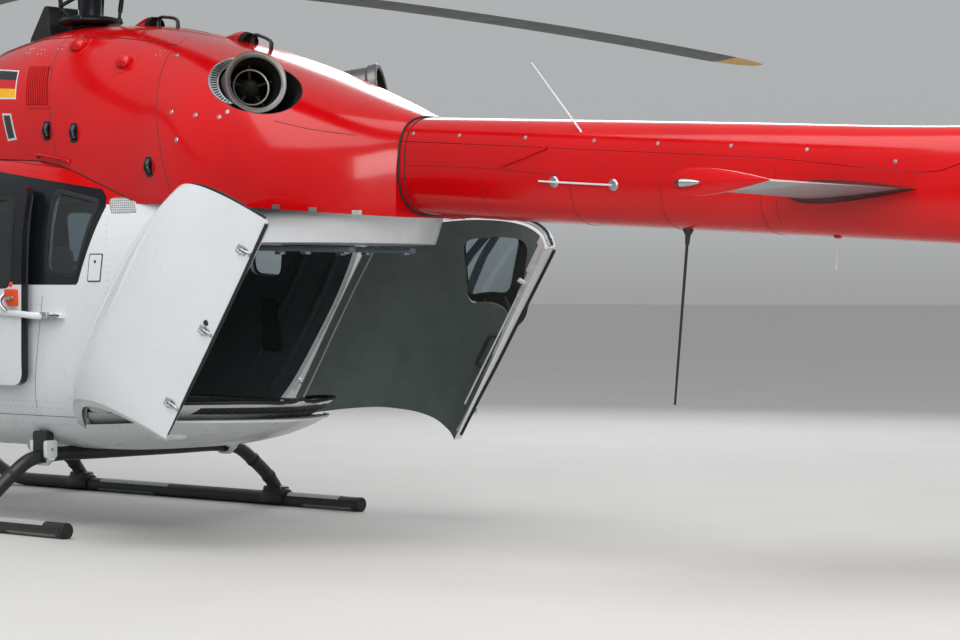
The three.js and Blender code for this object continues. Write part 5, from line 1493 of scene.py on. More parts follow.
cowlFittings = {
    "louvre": [(-45, 2741), (-245, 2729), (-357, 2474), (-147, 2483)], "slats": 12,
    "patch": [(263, 2727), (51, 2708), (-17, 2543), (138, 2551)],
    "grating": [(54, 2437), (-7, 2434), (-84, 2298), (-26, 2294)],
    "latches": [(-382, 2329), (-634, 2308), (-1356, 2087)],
    "blisters": [(-400, 2840), (-910, 2712)],
    "seam": [(1100, 2700), (600, 2830), (143, 2918), (-255, 2912), (-526, 2902), (-867, 2858), (-1184, 2810)],
    "aftSeam": [(-2210, 2320), (-2420, 2270), (-2640, 2235)],
    "fasteners": [(-1268, 2744), (-1491, 2394), (-1588, 2231), (-1691, 2369), (-1863, 2352), (-1903, 2380)],
    "studGroups": [(-63, 2829), (-236, 2850), (75, 2845), (-1127, 2764)],
    "rivets": [[(143, 2936), (-255, 2927), (-867, 2874), (-1184, 2828)], [(-1700, 1902), (-2800, 1815)]],
    "scoops": [(-413, -786), (-1216, -1574)],
}


def squareTo(out, helper):
    # three directions, the last one along out
    along = np.cross(helper, out)
    along /= np.linalg.norm(along)
    return np.stack([along, np.cross(out, along), out], 1)


def cowlPanels(side, onto):
    fit, whole = cowlFittings, (0, 1)
    slats = [platePatch(fit["louvre"], onto, 7, (4, 10),
                        (((k + 0.18) / fit["slats"], (k + 0.62) / fit["slats"]), (0.04, 0.96)))
             for k in range(fit["slats"])]
    bars = [platePatch(fit["louvre"], onto, 4, (10, 3), ((-0.05, 1.05), part))
            for part in ((-0.04, 0.03), (0.97, 1.04))]
    addOn(f"louvre_slats_{side}", slats + bars, redPaint)
    # a dark plate under the slats: painted shade where the louvre opens into the cowl
    addOn(f"louvre_pit_shade_{side}", platePatch(fit["louvre"], onto, 1.2, (12, 12)), sootAndShade)
    addOn(f"patch_border_{side}", platePatch(fit["patch"], onto, 0.7, (8, 8), ((-0.05, 1.05), (-0.05, 1.05))),
          whitePaint)
    for band, paint, part in (("upper", blackPaint, (0, 0.333)), ("middle", redPaint, (0.333, 0.667)),
                              ("lower", yellowPaint, (0.667, 1))):
        addOn(f"patch_{band}_{side}", platePatch(fit["patch"], onto, 1.1, (8, 5), (whole, part)), paint,
              slot="red_paint")
    addOn(f"grating_rim_{side}", platePatch(fit["grating"], onto, 2.5, (6, 8), ((-0.22, 1.22), (-0.1, 1.1))),
          paleTrim)
    addOn(f"grating_mesh_{side}", platePatch(fit["grating"], onto, 3.6, (6, 8)), wireMesh)


def cowlSkinFittings():
    roof = lambda x, y, lift: roofOn(cowlRows, x, y, lift)
    fit = cowlFittings
    for side, sign in sides:
        onto = skin(cowlRows, sign)
        cowlPanels(side, onto)
        pockets, domes = [], []
        for x, z in fit["latches"]:
            pockets.append(panelPatch([[x + 44, z + 58], [x - 22, z + 58], [x - 44, z - 58],
                                       [x + 22, z - 58]], onto, 2.0, 6, 40, 16))
            grip = [onto(x + dx, z + dz, lift) for dx, dz, lift in ((4, 34, 4), (-2, 0, 17), (-10, -36, 5))]
            pockets.append(tube(curveThrough(grip, 14), 21, 12))
        addOn(f"cowl_latches_{side}", pockets, blackPaint)
        for x, z in fit["blisters"]:
            foot = onto(x, z, 0)
            out = onto(x, z, 1) - foot
            domes.append(softBlock(foot + out * 4, (58, 44, 46), 0.75, squareTo(out, (0, sign, 0)), 16, 32))
            a = np.linspace(0, 2 * np.pi, 28, endpoint=False)
            domes.append(panelPatch(np.stack([x + 78 * np.cos(a), z + 66 * np.sin(a)], 1), onto, 2.4, 5, 40))
        addOn(f"cowl_blisters_{side}", domes, redPaint)
        groups = [(x + dx, z + dz) for x, z in fit["studGroups"] for dx in (-16, 16) for dz in (-14, 14)]
        fasteners = [studsOn(fit["fasteners"], onto, 15, 4, 14), studsOn(groups, onto, 5, 2, 8)]
        addOn(f"cowl_fasteners_{side}", fasteners, aluminium)
        lines = [lineOn(fit["seam"], onto, 2.2, 90, 0.6)]
        for (high, low), top in ((cowlJoints["front"], 2885), (cowlJoints["rear"], 2690)):
            z = np.linspace(1890, top, 60)
            lines.append(tube(onto(low + (high - low) * (z - cowlJoints["low"]) / 1400 + 2, z, -2), 3.4, 6))
        x = np.linspace(1300, -1480, 120)
        low, high = np.full(120, 1900.0), np.full(120, 2268.0)
        for _ in range(20):  # the height where cowl and cabin side meet, by halving
            z = (low + high) / 2
            wider = sideOn(podRows, x, z, 1)[:, 1] > sideOn(cowlRows, x, z, 1)[:, 1]
            low, high = np.where(wider, z, low), np.where(wider, high, z)
        lines += [tube(sideOn(podRows, x, low, sign, 1.5), 3.4, 6),
                  lineOn(fit["aftSeam"], onto, 1.5, 30, 0.4)]
        addOn(f"cowl_seams_{side}", lines, rubber)
        addOn(f"cowl_rivets_{side}", [rivets(row, onto, 60) for row in fit["rivets"]], dullRed)
    fairings, inletShade, hoops = [], [], []
    v, t = np.linspace(0, np.pi, 20)[None], np.linspace(0, 1, 8)[:, None]
    for front, back in fit["scoops"]:
        x = np.linspace(front, front - 150, 16)[:, None]
        share = (front - x) / 150
        half, rise = 26 + 44 * share, 60 * np.sin(share * np.pi / 2)
        fairings.append(faceAway(gridShape(roof(x + 0 * v, half * np.cos(v), rise * np.sin(v) - 1))))
        # a short dark tunnel and a dark disc across each scoop's mouth: painted shade inside the inlet
        inner = np.linspace(front - 150, front - 186, 5)[:, None]
        wide = 70 - 3 * (inner < front - 151)
        inletShade.append(faceAway(gridShape(roof(inner + 0 * v, wide * np.cos(v), 60 * np.sin(v) - 1))))
        inletShade.append(gridShape(roof(front - 150.0, 70 * t * np.cos(v), 60 * t * np.sin(v))))
        spots = [(front - 200, 0), (front - 200, 42), (front - 216, 56), (front - 270, 58), (back + 40, 54),
                 (back + 12, 44), (back, 0)]
        hoops.append(tube(curveThrough([roof(px, 0, lift) for px, lift in spots], 60), 10, 12, 1.5))
    addOn("scoop_fairings", fairings, redPaint)
    addOn("scoop_inlet_shade", inletShade, sootAndShade)
    addOn("scoop_hoops", hoops, enamel)
    addOn("cowl_ridge_seam", tube(roof(np.linspace(-60, -1060, 60), 3, -1), 3, 6), rubber)


podFittings = {
    "handhold": [(-318, 2164), (-606, 2116)],
    "vent": [(-1010, 1917), (-1206, 1917), (-1262, 1830), (-1060, 1826)],
    "hatch": [(-954, 1591), (-1052, 1591), (-1052, 1442), (-954, 1442)],
    "lock": (-1002, 1551), "hook": (-1545, 1951),
    "rivetRows": [[(1300, 2190), (300, 2190)], [(-300, 2090), (-640, 2046), (-1000, 1985)],
                  [(-860, 1990), (-1050, 2070)],
                  [(-1050, 1990), (-1500, 1900)], [(-136, 735), (-700, 740), (-800, 720)],
                  [(-60, 1300), (-540, 1300), (-600, 820)], [(-60, 2190), (-700, 2120), (-1380, 1980)],
                  [(-1040, 1800), (-1120, 1420), (-1000, 1060), (-800, 760)], [(1340, 700), (-700, 700)],
                  [(1330, 1100), (1330, 780)], [(60, 1370), (60, 800)]],
    "seams": [([(1370, 2150), (900, 2180), (100, 2170), (-60, 2160), (-720, 2085)], 80),
              ([(-560, 1350), (-470, 700)], 50)],
    "rail": [(-760, 840, 1224), (95, 889, 1256)],
}


def podSkinFittings():
    fit = podFittings
    for side, sign in sides:
        onto = skin(podRows, sign)
        (x0, z0), (x1, z1) = fit["handhold"]
        spots = [(x0, z0, -2), (x0 - 6, z0 - 2, 34), (x0 - 40, z0 - 8, 40), (x1 + 40, z1 + 8, 40),
                 (x1 + 6, z1 + 2, 34), (x1, z1, -2)]
        grip = tube(curveThrough([onto(*spot) for spot in spots], 50), 9, 12)
        addOn(f"roof_handhold_{side}", [grip, studsOn(fit["handhold"], onto, 24, 5, 20)], redPaint)
        addOn(f"side_vent_{side}", panelPatch(roundedOutline(fit["vent"], 34), onto, 2.5, 5, 60), perforated)
        # black dots on the vent sheet, drawn with the rubber material: painted shade in its holes
        gx, gz = np.meshgrid(np.arange(-1260, -990, 15.0), np.arange(1834, 1915, 13.0), indexing="ij")
        holeShadeSpots = xyz((gx + np.arange(gx.shape[1]) % 2 * 7.5).ravel(), 0, gz.ravel())
        holeShadeSpots = holeShadeSpots[insideOutline(holeShadeSpots, fit["vent"])][:, [0, 2]]
        addOn(f"side_vent_hole_shade_{side}",
              studsOn(holeShadeSpots, lambda x, z, lift: onto(x, z, lift + 2.2), 5.2, 1.2, 6), rubber)
        hatch = np.array(fit["hatch"])
        outer = roundedOutline(hatch + [[6, 6], [-6, 6], [-6, -6], [6, -6]], 10)
        addOn(f"hatch_gap_{side}", bandPatch(outer, roundedOutline(hatch, 8), onto, 4, 120), rubber)
        addOn(f"hatch_door_{side}", panelPatch(hatch, onto, 4.6, 5, 60, 8), whitePaint)
        addOn(f"hatch_lock_{side}", studsOn([fit["lock"]], onto, 11, 9, 18), moulding)
        piece = addOn(f"pod_rivets_{side}", [rivets(row, onto) for row in fit["rivetRows"]],
                      [dullRed, dullWhite], slot="black_paint")
        piece.data.polygons.foreach_set("material_index",
                                        (faceData(piece.data)[0][:, 2] < redLine).astype(np.int32))
        x, z = fit["hook"]
        curve = [onto(x + dx, z + dz, lift)
                 for dx, dz, lift in ((24, 4, 0), (14, 6, 22), (-12, -4, 24), (-22, -12, 8))]
        catch = [tube(curveThrough(curve, 16), 7, 8),
                 studsOn([(x + 22, z + 4), (x - 8, z + 20)], onto, 14, 5, 14)]
        addOn(f"door_catch_{side}", catch, redPaint)
        addOn(f"pod_seams_{side}", [lineOn(line, onto, 1.4, count, 0.2) for line, count in fit["seams"]],
              rubber)


slidingFittings = {
    "arm": [(-120, 1262, 10), (-260, 1258, 14),
            (-400, 1252, 14)], "armEnd": [[-500, 955, 1246], [-560, 940, 1240], [-610, 905, 1236]],
    "cover": [[-345, 1392], [-440, 1392], [-448, 1296], [-380, 1290], [-352, 1330]],
    "lever": [(-338, 1370, 6), (-330, 1330, 40), (-346, 1296, 44), (-372, 1268, 30)],
    "frontGrip": ((1500, 1070, 0), (1498, 1070, 26), (1560, 1062, 32), (1630, 1054, 26), (1632, 1054, 0)),
    "rightGrip": ((1130, 1320, 0), (1130, 1320, 28), (1180, 1320, 34), (1240, 1320, 28), (1240, 1320, 0)),
}


def doorRails():
    # a white channel on the cabin side, a flat dark strip along it as painted shade for its groove, and a row
    # of bolts
    low, high = podFittings["rail"]
    profile = roundedOutline([[low[2], low[1]], [high[2], low[1]], [high[2], high[1]], [low[2], high[1]]], 6,
                             4)
    middle = profile.mean(0)
    x = np.array([low[0], low[0] + 4, high[0] - 4, high[0]], float)[:, None]
    ring = middle + (profile - middle)[None] * np.array([0.9, 1, 1, 0.9])[:, None, None]
    for side, sign in sides:
        rail = gridShape(xyz(x, sign * ring[..., 1], ring[..., 0]), wrap=True, caps=True)
        onRail = lambda a, b, lift: xyz(a, sign * (high[1] + 0.2 + lift * 0.3), b)
        # the corners of the dark strip: painted shade where the channel's groove would be
        corners = [(low[0] + 20, 1246), (high[0] - 20, 1246), (high[0] - 20, 1234), (low[0] + 20, 1234)]
        addOn(f"door_rail_{side}", rail, whitePaint)
        addOn(f"door_rail_groove_shade_{side}", platePatch(corners, onRail, 1, (10, 3)), rubber)
        bolts = [[px, sign * high[1], 1251] for px in range(-700, 95, 90)]
        addOn(f"door_rail_bolts_{side}", studs(bolts, np.tile((0, sign, 0.0), (9, 1)), 5, 3, 6), aluminium)


def closedTube(onto, outline, count, lift, radius):
    line = evenOutline(outline, count)
    line = np.vstack([line, line[:1]])
    return tube(onto(line[:, 0], line[:, 1], lift), radius, 8)


def slidingDoorFittings():
    fit = slidingFittings
    doorRails()
    onDoor = lambda x, z, lift: sideOn(podRows, np.asarray(x) - slidingShift[0], z, 1,
                                       lift) + np.array(slidingShift, float)
    curve = lambda onto, spots, count: curveThrough([onto(*spot) for spot in spots], count)
    roller = [softBlock((-420, 868, 1240), (32, 34, 20), 0.25),
              rod((-420, 880, 1240), (-420, 946, 1240), 9, 14)]
    addOn("door_roller_block", roller, castAlloy)
    path = [onDoor(*spot) for spot in fit["arm"]] + fit["armEnd"]
    addOn("sliding_door_arm", tube(curveThrough(path, 40), 19, 14, 0.5), whitePaint)
    bracket = [softBlock((-622, 896, 1236), (34, 16, 24), 0.3),
               softBlock((-690, 893, 1228), (40, 7, 12), 0.3),
               studs([[-606, 913, 1246], [-640, 913, 1228.0]], np.tile((0, 1.0, 0), (2, 1)), 8, 6, 10)]
    addOn("sliding_door_bracket", bracket, aluminium)
    addOn("door_lock_cover", panelPatch(fit["cover"], onDoor, 26, 8, 60, 14, 6), orangePaint)
    lever = [tube(curve(onDoor, fit["lever"], 24), 11, 12, 0.6),
             rod(onDoor(-410, 1340, 20), onDoor(-410, 1340, 44), 13, 18),
             rod(onDoor(-440, 1344, 40), onDoor(-372, 1336, 40), 8, 12)]
    addOn("door_lock_lever", lever, aluminium)
    addOn("door_lock_disc", studsOn([(-376, 1420)], onDoor, 17, 5, 22), orangePaint)
    for side, sign in sides:
        onto, front = skin(podRows, sign), f"front_door_{side}"
        addOn(f"sliding_door_seal_{side}", closedTube(onto, outlineOf("slidingDoor", -2), 200, -wall - 3, 8),
              rubber, turn=slid[side])
        addOn(f"door_opening_seal_{side}", closedTube(onto, outlineOf("slidingDoor", 12), 200, -wall - 1, 9),
              rubber)
        addOn(f"cockpit_door_seal_{side}", closedTube(onto, outlineOf("cockpitDoor", -4), 160, -wall - 2, 7),
              rubber, front)
        handle = [tube(curve(onto, fit["frontGrip"], 30), 9, 10),
                  studsOn([(1500, 1070), (1632, 1054)], onto, 20, 4, 16)]
        addOn(f"cockpit_door_handle_{side}", handle, aluminium, front)
        if side == "right":
            addOn("sliding_door_handle_right", tube(curve(onto, fit["rightGrip"], 30), 10, 10), aluminium)


def alongOnto(rows, start, way, low=-900, high=500):
    # where lines in one direction leave a hull's left half: the distance is halved again and again
    a, b = np.full(start.shape[:-1], float(low)), np.full(start.shape[:-1], float(high))
    for _ in range(26):
        middle = (a + b) / 2
        p = start + way * middle[..., None]
        inside = hullLevel(rows, p) < 1
        a, b = np.where(inside, middle, a), np.where(inside, b, middle)
    return start + way * a[..., None]


crescent = {"from": -58, "to": 108, "near": 179, "reach": 50, "slots": 30}


def exhaustFittings():
    forward = np.array([1.0, 0, 0]) - exhaustWay * exhaustWay[0]
    forward /= np.linalg.norm(forward)
    upward = np.cross(exhaustWay, forward)
    upward = upward * np.sign(upward[2])

    def onCowl(share, part, lift):
        # share runs along the crescent and part across it; it narrows to nothing at both ends
        a = np.radians(crescent["from"] + share * (crescent["to"] - crescent["from"]))
        r = crescent["near"] + crescent["reach"] * np.sin(share * np.pi) ** 0.6 * part
        start = mouth + r[..., None] * (np.cos(a)[..., None] * forward + np.sin(a)[..., None] * upward)
        return alongOnto(cowlRows, start, exhaustWay) + exhaustWay * lift
    share, part, count = np.linspace(0.01, 0.99, 90)[:, None], np.linspace(0, 1, 5)[None], crescent["slots"]
    plate = onCowl(share + 0 * part, part + 0 * share, 3.0)
    # dark bars laid on the grille plate: painted shade where its slots open
    bars = []
    for k in range(count):
        middle = 0.04 + 0.92 * (k + 0.5) / count
        bars.append(gridShape(onCowl(*np.meshgrid(np.array([-0.26, 0.26]) / count + middle, [0.16, 0.5, 0.84],
                                                  indexing="ij"), 4.2)))
    rimLine = onCowl(share[:, 0], np.ones(90), 2.0)
    r, skinAlone = exhaustRadius, hull(cowlRows, 1)
    inner, outer = r + 19, r + 23.5
    lip = [[r - 31, -2], [r - 20, 5], [r - 3, 5], [r + 3, -3], [r + 2, -26], [r - 2, -26], [r - 4, -6],
           [r - 26, -6]]
    for side, sign in sides:
        mirrored = np.array([1, sign, 1])
        at, way = mouth * mirrored, exhaustWay * mirrored
        away = lambda shape: faceAway((shape[0] * mirrored, shape[1]), at - way * 900)
        addOn(f"exhaust_grille_{side}", [away(gridShape(plate)), tube(rimLine * mirrored, 4, 8)], aluminium)
        addOn(f"exhaust_slot_shade_{side}", [away(bar) for bar in bars], sootAndShade)
        # the recess liners and the bulkhead behind them are dark sooted steel: real soot, and painted shade
        # inside the opening round the pipe
        liner = lathed([[inner, -460], [outer, -460], [outer, 320], [inner, 320]], at, way, 80)
        behind = turned([[0, -300], [inner, -300], [inner, 700], [0, 700]], at + np.array([-75, 0, -9.0]),
                        way, 64)
        addOn(f"exhaust_recess_{side}", carved(liner, keep(skinAlone), cut(behind)), sootAndShade)
        core = turned([[0, -700], [inner, -700], [inner, 700], [0, 700]], at, way, 64)
        second = carved(moved(liner, Matrix.Translation((-75, 0, -9))), cut(core), keep(skinAlone))
        addOn(f"exhaust_recess_rear_{side}", second, sootAndShade)
        addOn(f"exhaust_bulkhead_{side}",
              turned([[0, -462], [r + 22, -462], [r + 22, -456], [0, -456]], at, way, 64), sootAndShade)
        addOn(f"exhaust_lip_{side}", lathed(lip, at, way, 80), exhaustSteel)
        addOn(f"exhaust_inner_ring_{side}",
              lathed([[96, -150], [104, -152], [104, -118], [96, -120]], at, way, 64), exhaustSteel)


def sectionRing(rows, x, lift=0, count=120, start=0, end=1):
    # points round an upright section
    low, waist, high, width, top, bottom = sectionAt(rows, float(x), leanZero)
    t = (start + np.arange(count + 1) / count * (end - start)) * 2 * np.pi
    n = np.where(np.sin(t) >= 0, top, bottom)
    reach = np.where(np.sin(t) >= 0, high - waist, waist - low)
    radius = (np.abs(np.cos(t)) ** n + np.abs(np.sin(t)) ** n) ** (-1 / n)
    return xyz(x, (width + lift) * radius * np.cos(t), waist + (reach + lift) * radius * np.sin(t))


boomFit = {
    "coverScrews": [(-2899, 2246), (-3223, 2224), (-3673, 2198), (-4125, 2167), (-4527, 2139), (-4968, 2114),
                    (-5407, 2081), (-5899, 2009)],
    "discs": [(-3883, 1959), (-4264, 1935)], "rodStart": (-3793, 1966),
    "conduit": [(-3540, 2050), (-3562, 2056), (-3661, 2084), (-3832, 2137)],
    "seam": [(-2870, 2074), (-3393, 2044), (-3926, 1994)],
}


def boomFittings():
    fit = boomFit
    screws = combined(*[studsOn(fit["coverScrews"], skin(boomRows, sign), 11, 4, 12) for _, sign in sides])
    addOn("cover_screws", screws, aluminium)
    onto = skin(boomRows, 1)
    addOn("boom_discs", studsOn(fit["discs"], onto, 31, 9, 32), aluminium)
    line = [fit["rodStart"], fit["discs"][0], fit["discs"][1]]
    addOn("boom_link_rod", lineOn(line, onto, 5, 60, 12), whitePaint)
    addOn("boom_conduit", lineOn(fit["conduit"], onto, 8, 40, 5), redPaint)
    seams = [lineOn(fit["seam"], onto, 1.3, 60, 0.1),
             lineOn([(-5240, 2020), (-5240, 1720)], onto, 1.3, 40, 0.1)]
    for x in (-3400, -3990, -4560, -5150):
        seams.append(tube(sectionRing(boomRows, x, 0.2, 60, 0.52, 0.98), 1.2, 6))
    addOn("boom_seams", seams, rubber)
    root = combined(tube(sectionRing(boomRows, -2826, 2), 7, 10), tube(sectionRing(boomRows, -2866, 1), 3, 8))
    addOn("boom_root_seal", root, rubber)
    heads = combined(*[rivets([(-2850, 1840), (-5300, 1690)], skin(boomRows, sign), 80) for _, sign in sides],
                     *[rivets([(-2895, 2190), (-2895, 1850)], skin(boomRows, sign), 40) for _, sign in sides])
    addOn("boom_rivets", heads, dullRed)
    addOn("boom_probe", rod((-5500, 60, 1668), (-5489, 60, 1502), 5, 10, 4), whitePaint)
    feet = [studs([[-5500, 60, 1664]], [[0, 0, -1.0]], 22, 12, 16),
            turned([[0, -14], [30, -14], [27, 8], [13, 34], [9, 60], [0, 62]], (-4120, 175, 2091),
                   (400, 55, 495), 20)]
    addOn("boom_probe_foot", feet, redPaint)


endPlate = {"chord": 530, "thick": 132, "front": -5510, "inner": 1414, "outer": 1434}


def stabiliserFittings():
    for side, sign in sides:
        inner, outer = endPlate["inner"], endPlate["outer"]
        rows = np.array([inner, inner + 2, outer - 2, outer], float)
        squeeze = np.array([0.96, 1, 1, 0.96])
        place = lambda along, up: xyz(endPlate["front"] - (1 - squeeze[:, None]) * 260 - along,
                                      sign * rows[:, None],
                                      stabiliserHeight + 4 + up)
        plate = outwards(*foil(endPlate["chord"] * squeeze, endPlate["thick"] * squeeze, place, 34))
        addOn(f"stabiliser_end_{side}", plate, redPaint, angle=50)
        lampAt = (-5600, sign * 1440, stabiliserHeight)
        body = turned([[0, -70], [6, -66], [14, -30], [19, 10], [19, 34], [0, 34]], lampAt, (1, 0, 0), 24)
        addOn(f"position_lamp_{side}", body, aluminium)
        lens = turned([[0, 34], [18.5, 34], [18, 52], [12, 66], [0, 72]], lampAt, (1, 0, 0), 24)
        addOn(f"position_lamp_glass_{side}", lens, lampGlass["red" if side == "left" else "clear"])
        y = np.linspace(240, 330, 7)
        share = (y - 240) / 90
        chords = np.interp(y, [120, 700], [690, 590]) + 60 * (1 - share) ** 2
        thicks = np.interp(y, [120, 700], [80, 72]) + 50 * (1 - share) ** 2
        front = np.interp(y, [120, 700], [-5290, -5410]) + 22 * (1 - share) ** 2
        place = lambda along, up: xyz(front[:, None] - along, sign * (y[:, None] - 40), stabiliserHeight + up)
        root = carved(outwards(*foil(chords, thicks, place, 26)), cut(hull(boomRows, -0.6, 96, 60)))
        addOn(f"stabiliser_root_{side}", root, enamel, angle=50)


def sill():
    # the rim under the rear doors: a rubber line inside, a white web below it and rivets on the belly
    around = np.sin(np.linspace(0, 0.5, 60) * np.pi)
    paths, webs, lips = [], [], []
    for _, sign in sides:
        rear = rearSide(sign, podRows)
        wide = lambda z: sideOn(podRows, hingeX(z) - 12, z, 1)[1]
        paths.append(rear(4 + (wide(704) - 24) * around, 704, -wall - 22))
        z = np.linspace(560, 700, 8)[None]
        y = 2 + np.array([wide(v) - 20 for v in z[0]])[None] * around[:, None]
        webs.append(faceAway(gridShape(rear(y, z + 0 * y, -wall - 16)), (-900, 0, 600)))
        lips.append(rear(4 + 660 * around, 642, 1))
        gx, gz = np.meshgrid(np.linspace(-690, -1150, 24), np.linspace(560, 700, 8), indexing="ij")
        webs.append(faceAway(gridShape(sideOn(podRows, gx, gz, sign, -wall - 17))))
    addOn("sill_seal", tube(np.vstack([paths[0][::-1], paths[1]]), 11, 10), rubber)
    addOn("sill_web", webs, whitePaint)
    addOn("sill_lip", tube(np.vstack([lips[0][::-1], lips[1]]), 8, 10, 0.6), whitePaint)
    rows = []
    for _, sign in sides:
        onto = skin(podRows, sign)
        rows += [rivets([(-1000, 596), (-1640, 596)], onto, 42),
                 rivets([(-900, 540), (-1420, 540)], onto, 42),
                 rivets([(-700, 600), (1300, 600)], onto, 46), rivets([(-1100, 610), (-1140, 500)], onto, 40)]
    addOn("belly_rivets", rows, dullWhite)
    seams = [lineOn([(2560, 652), (1400, 652), (-780, 652)], skin(podRows, sign), 1.5, 120, -0.4)
             for _, sign in sides]
    addOn("belly_seams", seams, rubber)


def stripFittings():
    clips, beams, holders = [], [], []
    for _, sign in sides:
        for x in (-1810, -2050, -2287, -2478, -2674):
            z = 1880 - (1700 + x) * -88 / 1130 + 12
            clips.append(platePatch([(x + 20, z + 12), (x - 20, z + 12), (x - 20, z - 12), (x + 20, z - 12)],
                                    skin(cowlRows, sign), 4, (3, 3)))
        beams.append(tube([[-1560, sign * 250, 1637], [-2000, sign * 250, 1628], [-2460, sign * 250, 1617]],
                          17, 12, 1.6))
        for x in (-1900, -2100, -2400):
            holders.append(softBlock((x, sign * 250, 1606), (26, 22, 12), 0.3))
    addOn("strip_clips", clips, aluminium)
    addOn("roof_beams", beams, beamPaint)
    addOn("beam_holders", holders, aluminium)


bellyBump = (-1290, 548)


def bellyFittings():
    onto = skin(podRows, 1)
    foot = onto(*bellyBump, 0)
    out = onto(*bellyBump, 1) - foot
    addOn("belly_bump", softBlock(foot, (96, 34, 22), 0.8, squareTo(out, (0, 0, 1))), whitePaint)
    mast = [softBlock((600, 0, 424), (60, 10, 6), 0.5),
            tube(curveThrough([[600, 0, 426], [585, 0, 392], [560, 0, 350]], 12), [16] * 6 + [12] * 6, 14,
                 0.35)]
    addOn("belly_blade_antenna", mast, whitePaint)


def gearFittings():
    for name, x in (("front", 1461), ("rear", -432)):
        clamps, bolts = [], []
        for _, sign in sides:
            for dx in (-62, 62):
                clamps.append(softBlock((x + dx, sign * 742, 452), (14, 44, 52), 0.25))
                bolts.append(rod((x + dx - 24, sign * 742, 452), (x + dx + 24, sign * 742, 452), 9, 12))
            strap = [[x + dx, sign * 742, z] for dx, z in ((-74, 400), (-30, 366), (30, 366), (74, 400))]
            clamps.append(tube(strap, 13, 12, 2.2))
        addOn(f"crosstube_{name}_clamps", clamps, whitePaint)
        addOn(f"crosstube_{name}_pins", bolts, aluminium)
        rings = []
        for _, sign in sides:
            for y, z, r in ((1128, 192, 46), (985, 306, 46)):
                way = np.array([0, sign * 1.0, -0.9])
                rings.append(lathed(roundedOutline([[42.5, -12], [r, -12], [r, 12], [42.5, 12]], 1.5, 2),
                                    (x, sign * y, z), way, 28))
        addOn(f"crosstube_{name}_bands", rings, rubber)
    for side, sign in sides:
        shoes = []
        for x0, x1 in ((-1120, -700), (700, 1250)):
            t = np.linspace(1.14, 1.86, 12) * np.pi
            under = xyz(np.linspace(x0, x1, 12)[:, None], sign * 1202 + 46 * np.cos(t),
                        np.maximum(45 + 46 * np.sin(t), 0.5))
            shoes.append(inverted(gridShape(under)))
        addOn(f"skid_shoe_{side}", shoes, castAlloy)


def headFittings():
    # the swashplate's star with four arms, and the head's inner plates
    height = rotor["height"]
    arms = []
    for t in bladeTurns:
        a = t + math.radians(42)
        c, s = math.cos(a), math.sin(a)
        arms.append(tube([[70 * c, 70 * s, 3052], [130 * c, 130 * s, 3052], [186 * c, 186 * s, 3050]],
                         [36, 26, 17], 16, 0.8))
        b = t + math.radians(45)
        cb, sb = math.cos(b), math.sin(b)
        arms.append(tube([[150 * cb, 150 * sb, height], [205 * cb, 205 * sb, height],
                          [232 * cb, 232 * sb, height]], [46, 34, 22], 16, 0.5))
    addOn("swashplate_star", arms, anodised, "main_rotor", "hub_metal")
    dampers = []
    profile = np.array([[0, 52], [52, 52], [56, 60], [56, 84], [44, 96], [20, 100], [0, 100]])
    for t in bladeTurns:
        for rings in (profile, profile[::-1] * (1, -1)):
            dampers.append(moved(turned(rings, (330, 0, 0), (0, 0, 1), 28), armPlace(t)))
    addOn("lag_dampers", dampers, rubber, "main_rotor")


handrail = [(1150, 2020, 0), (1140, 2020, 40), (900, 2030, 46), (-500, 2000, 46), (-760, 1985, 40),
            (-770, 1985, 0)]


def interior():
    # what shows at the doors: floor tracks, ceiling, lamps, pockets, handrails, side frames, rack and seat
    tracks = [softBlock((-260, y, 726), (1000, 17, 6), 0.12, rows=6, columns=16)
              for y in (-430, -150, 150, 430)]
    # black dots along the tracks, drawn with the rubber material: painted shade in their holes
    holeShadeSpots = [[x, y, 731.8] for y in (-430, -150, 150, 430) for x in range(-1230, 720, 50)]
    addOn("floor_tracks", tracks, aluminium)
    addOn("floor_track_hole_shade", studs(holeShadeSpots, np.tile((0, 0, 1.0), (len(holeShadeSpots), 1)), 9, 0.8, 8), rubber)
    x, y = np.meshgrid(np.linspace(1280, -1380, 40), np.linspace(-560, 560, 17), indexing="ij")
    ceiling = roofOn(podRows, x, y, -wall - 26)
    addOn("ceiling_lining", inverted(faceAway(gridShape(ceiling), (0, 0, 1200))), lining)
    lamps = [softBlock(roofOn(podRows, lx, ly, -wall - 34), (90, 30, 8), 0.3) for lx in (700, 0, -700)
             for ly in (-260, 260)]
    addOn("ceiling_lamps", lamps, lampGlass["clear"])
    for side, sign in sides:
        inside = lambda x, z, lift: sideOn(podRows, x, z, sign, -wall - 4 - np.asarray(lift, float))
        pocket = [[-700, 1330], [-820, 1330], [-860, 1010], [-700, 1010]]
        addOn(f"wall_pocket_{side}", panelPatch(roundedOutline(pocket, 40), inside, 16, 6, 60), moulding)
        rail = curveThrough([inside(*spot) for spot in handrail], 60)
        addOn(f"handrail_{side}", tube(rail, 13, 14), castAlloy)
        z = np.linspace(760, 1880, 40)
        frames = [tube(inside(hingeX(z) + offset, z, 4), 20, 10, 0.5) for offset in (400, 120)]
        addOn(f"side_frames_{side}", frames, lining)
    rack = (((700, -600, 1120), (330, 150, 26)), ((700, -600, 1560), (330, 130, 14)),
            ((1020, -600, 1200), (14, 150, 470)), ((380, -600, 1200), (14, 150, 470)))
    addOn("equipment_rack", [softBlock(middle, half, 0.3) for middle, half in rack], castAlloy)
    addOn("cabin_seat_back", softBlock((1230, -520, 1180), (46, 210, 420), 0.3), moulding)


cockpit = {"screens": ((-300, 96), (-100, 96), (100, 96), (300, 96)), "seat": 390}


